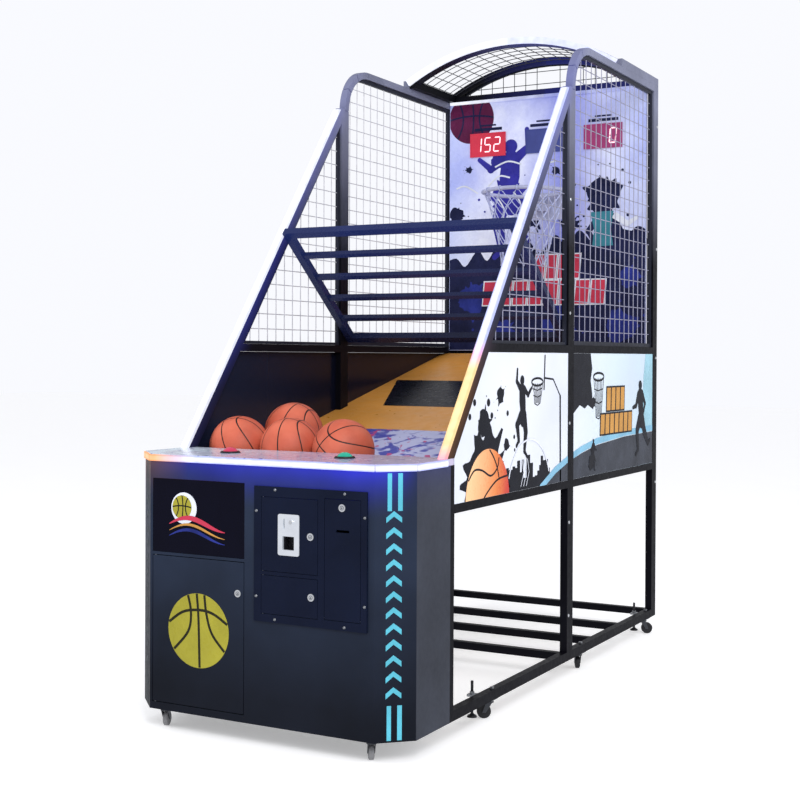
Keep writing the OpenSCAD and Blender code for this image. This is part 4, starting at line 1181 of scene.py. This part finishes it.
def board_art():
    low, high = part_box("backboard")
    window = box(low[0] / MM + 2, low[2] / MM + 2, high[0] / MM - 2, high[2] / MM - 2)
    face = plane((0, low[1], 0))

    def ink(name, shapes, color, layer):
        decal("board_" + name, shapes, face, color, layer, window)

    crest = [(-540, 1741), (-470, 1764), (-420, 1722), (-352, 1800), (-300, 1748), (-236, 1830), (-150, 1762),
                 (-92, 1846), (-20, 1780), (60, 1862), (118, 1800), (180, 1880), (262, 1812), (330, 1902),
                 (404, 1840), (470, 1888), (540, 1846)]
    ink("ground", [[[(-540, 1300)] + rounded_open(crest) + [(540, 1300)]]], "navy", 1)
    ink("blots", splashes((-470, 1980, 44, 21, 12, 0.6), (-60, 1960, 60, 22, 14, 0.7),
                          (420, 1800, 74, 23, 14, 0.5), (-400, 2200, 18, 24, 8, 0.7),
                          (130, 1900, 46, 25, 12, 0.7), (60, 2170, 22, 26, 8, 0.8)), "navy", 2)
    ink("patches", splashes((-380, 1560, 84, 31, 12, 0.6), (70, 1440, 96, 32, 14, 0.5),
                            (390, 1420, 86, 33, 12, 0.5), (-210, 1400, 60, 34, 12, 0.5),
                            (430, 1650, 56, 35, 10, 0.6)), "royal", 2)
    ink("ball", [[ring(-390, 2452, 122)]], "maroon", 1)
    ink("ball_seams", ball_lines(-390, 2452, 122, 8), "navy", 2)
    ink("jumper", figure(JUMP, -176, 1742, 560, -1)
        + splashes((-190, 2050, 92, 43, 14, 0.6), (-240, 2240, 46, 44, 8, 0.4)), "indigo", 3)
    folds = [[(-300, 2110), (-240, 2160), (-180, 2150)], [(-260, 2206), (-190, 2230), (-120, 2212)],
             [(-350, 2080), (-420, 2120), (-470, 2110)], [(-160, 2080), (-120, 2010), (-150, 1930)],
             [(-250, 2060), (-210, 1990), (-236, 1900)], [(-60, 2140), (0, 2200), (60, 2216)]]
    ink("jumper_folds", [[stroke(rounded_open(line), 8)] for line in folds], "white", 4)
    ink("guard", figure(RUN, 296, 1560, 460), "navy", 3)
    ink("guard_hair", splashes((300, 2040, 96, 41, 22, 0.34)), "navy", 4)
    ink("guard_shirt", [[[(236, 1962), (352, 1964), (338, 1880), (350, 1802), (246, 1798), (256, 1880)]]],
        "teal", 5)
    ink("guard_arm", [[stroke([(352, 1946), (420, 1900), (470, 1930)], [34, 28, 18])]], "white", 5)
    rows = ((-48, 1654, 4, 60), (-322, 1530, 8, 80))
    for name, grow, ink_used, layer in (("rows_edge", 6, "white", 4), ("rows", 0, "red", 5)):
        ink(name, [[box(x + k * step - grow, z - grow, x + k * step + step - 14 + grow, z + 112 + grow, 10)]
                   for x, z, count, step in rows for k in range(count)], ink_used, layer)
    labels = [[box(x - 74, 2388, x + 74, 2402)] for x in (-298, 0, 298)]
    labels += [[box(x - 42, 2410, x + 42, 2418)] for x in (-298, 0, 298)]
    ink("labels", labels, "navy", 3)


SEGMENTS = {"0": "abcdef", "1": "bc", "2": "abged", "5": "afgcd"}


def digit_shapes(x, z, wide, tall, digit):
    """A seven-segment figure with its lower left corner at x, z."""
    t = wide * 0.2
    half = tall / 2
    lean = 0.08

    def bar(u0, v0, u1, v1):
        ahead = (Vector((u1, v1)) - Vector((u0, v0))).normalized() * t / 2
        side = Vector((-ahead.y, ahead.x))
        p, q = Vector((u0, v0)) + ahead * 0.3, Vector((u1, v1)) - ahead * 0.3
        line = [p, p + ahead + side, q - ahead + side, q, q - ahead - side, p + ahead - side]
        return [[(x + c.x + lean * c.y, z + c.y) for c in line]]

    places = {
        "a": (0, tall, wide, tall), "b": (wide, tall, wide, half), "c": (wide, half, wide, 0),
        "d": (0, 0, wide, 0), "e": (0, 0, 0, half), "f": (0, half, 0, tall), "g": (0, half, wide, half),
    }
    return [bar(*places[k]) for k in SEGMENTS[digit]]


def display_digits():
    low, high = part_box("displays")
    face = plane((0, low[1] + 1.5 * MM, 0))
    z = (low[2] + high[2]) / 2 / MM - 34
    shapes = []
    for x, text in ((-298, "152"), (298, "  0")):
        for k, word in enumerate(text):
            if word != " ":
                shapes += digit_shapes(x - 68 + k * 50, z, 30, 68, word)
    decal("counter_digits", shapes, face, "digit")


def ramp_art():
    """Black arrow-like field on the far part of the ramp."""
    tilt = math.atan(RAMP_SLOPE)
    face = plane((0, Y(RAMP_FOOT), RAMP_Z), (1, 0, 0), (0, math.cos(tilt), math.sin(tilt)))
    k = 1 / math.cos(tilt)
    near, far = (1449 - RAMP_FOOT) * k, (1877 - RAMP_FOOT) * k
    decal("ramp_field", [[[(-343, near), (343, near), (508, far), (-508, far)]]], face, "black")


side_mesh()
roof_mesh()
net()
balls()
cabinet_art()
lock_faces()
frame_bolts()
side_art()
board_art()
display_digits()
ramp_art()

# ---- stage ----


def add_camera():
    camera = link("camera", bpy.data.cameras.new("camera"))
    camera.location = (2.5192, Y(-3658.5), 1.275)
    yaw = math.radians(28.627)
    pitch = math.radians(-0.393)
    roll = math.radians(0.264)
    level = Matrix.Rotation(yaw, 4, "Z") @ Matrix.Rotation(math.pi / 2 + pitch, 4, "X")
    camera.rotation_euler = (level @ Matrix.Rotation(roll, 4, "Z")).to_euler()
    camera.data.lens = 61.02
    camera.data.sensor_width = 36.0
    camera.data.shift_x = 0.002
    camera.data.shift_y = -0.0428
    camera.data.clip_end = 60.0
    bpy.context.scene.camera = camera


def add_area(name, place, target, size, power, mirrored):
    light = bpy.data.lights.new(name, "AREA")
    light.shape = "RECTANGLE"
    light.size, light.size_y = size
    light.energy = power
    obj = link(name, light)
    obj.visible_glossy = mirrored
    obj.location = place
    obj.rotation_euler = (Vector(target) - Vector(place)).to_track_quat("-Z", "Y").to_euler()


def add_stage():
    floor = link("floor", bpy.data.meshes.new("floor"))
    size = 30.0
    corners = [(-size, -size, 0), (size, -size, 0), (size, size, 0), (-size, size, 0)]
    floor.data.from_pydata(corners, [], [(0, 1, 2, 3)])
    s = Shader("floor", (0.88, 0.88, 0.89), 0.7)
    s.base(s.uneven((0.88, 0.88, 0.89), 0.015, 2.0))
    s.glow((1.0, 1.0, 1.0), 0.34)
    floor.data.materials.append(s.mat)
    floor.visible_glossy = False
    world = bpy.data.worlds.new("world")
    world.use_nodes = True
    tree = world.node_tree
    background = tree.nodes["Background"]
    background.inputs[0].default_value = (0.95, 0.96, 1.0, 1.0)
    # the backdrop is white to look at, softer as light and dim in reflections
    path = tree.nodes.new("ShaderNodeLightPath")
    mirrored = tree.nodes.new("ShaderNodeMapRange")
    tree.links.new(path.outputs["Is Glossy Ray"], mirrored.inputs["Value"])
    mirrored.inputs["To Min"].default_value = 0.76
    mirrored.inputs["To Max"].default_value = 0.48
    level = tree.nodes.new("ShaderNodeMapRange")
    tree.links.new(path.outputs["Is Camera Ray"], level.inputs["Value"])
    tree.links.new(mirrored.outputs[0], level.inputs["To Min"])
    tree.links.new(level.outputs[0], background.inputs[1])
    bpy.context.scene.world = world
    add_area("key", (3.6, -4.6, 4.6), (0, 0, 1.0), (2.4, 2.4), 190.0, True)
    add_area("fill", (-4.2, -3.4, 3.2), (0, 0, 1.0), (3.0, 3.0), 95.0, False)
    add_area("side", (4.8, 1.2, 2.4), (0, 0.2, 1.0), (3.0, 2.6), 80.0, False)
    bpy.context.scene.view_settings.view_transform = "Standard"


add_camera()
add_stage()
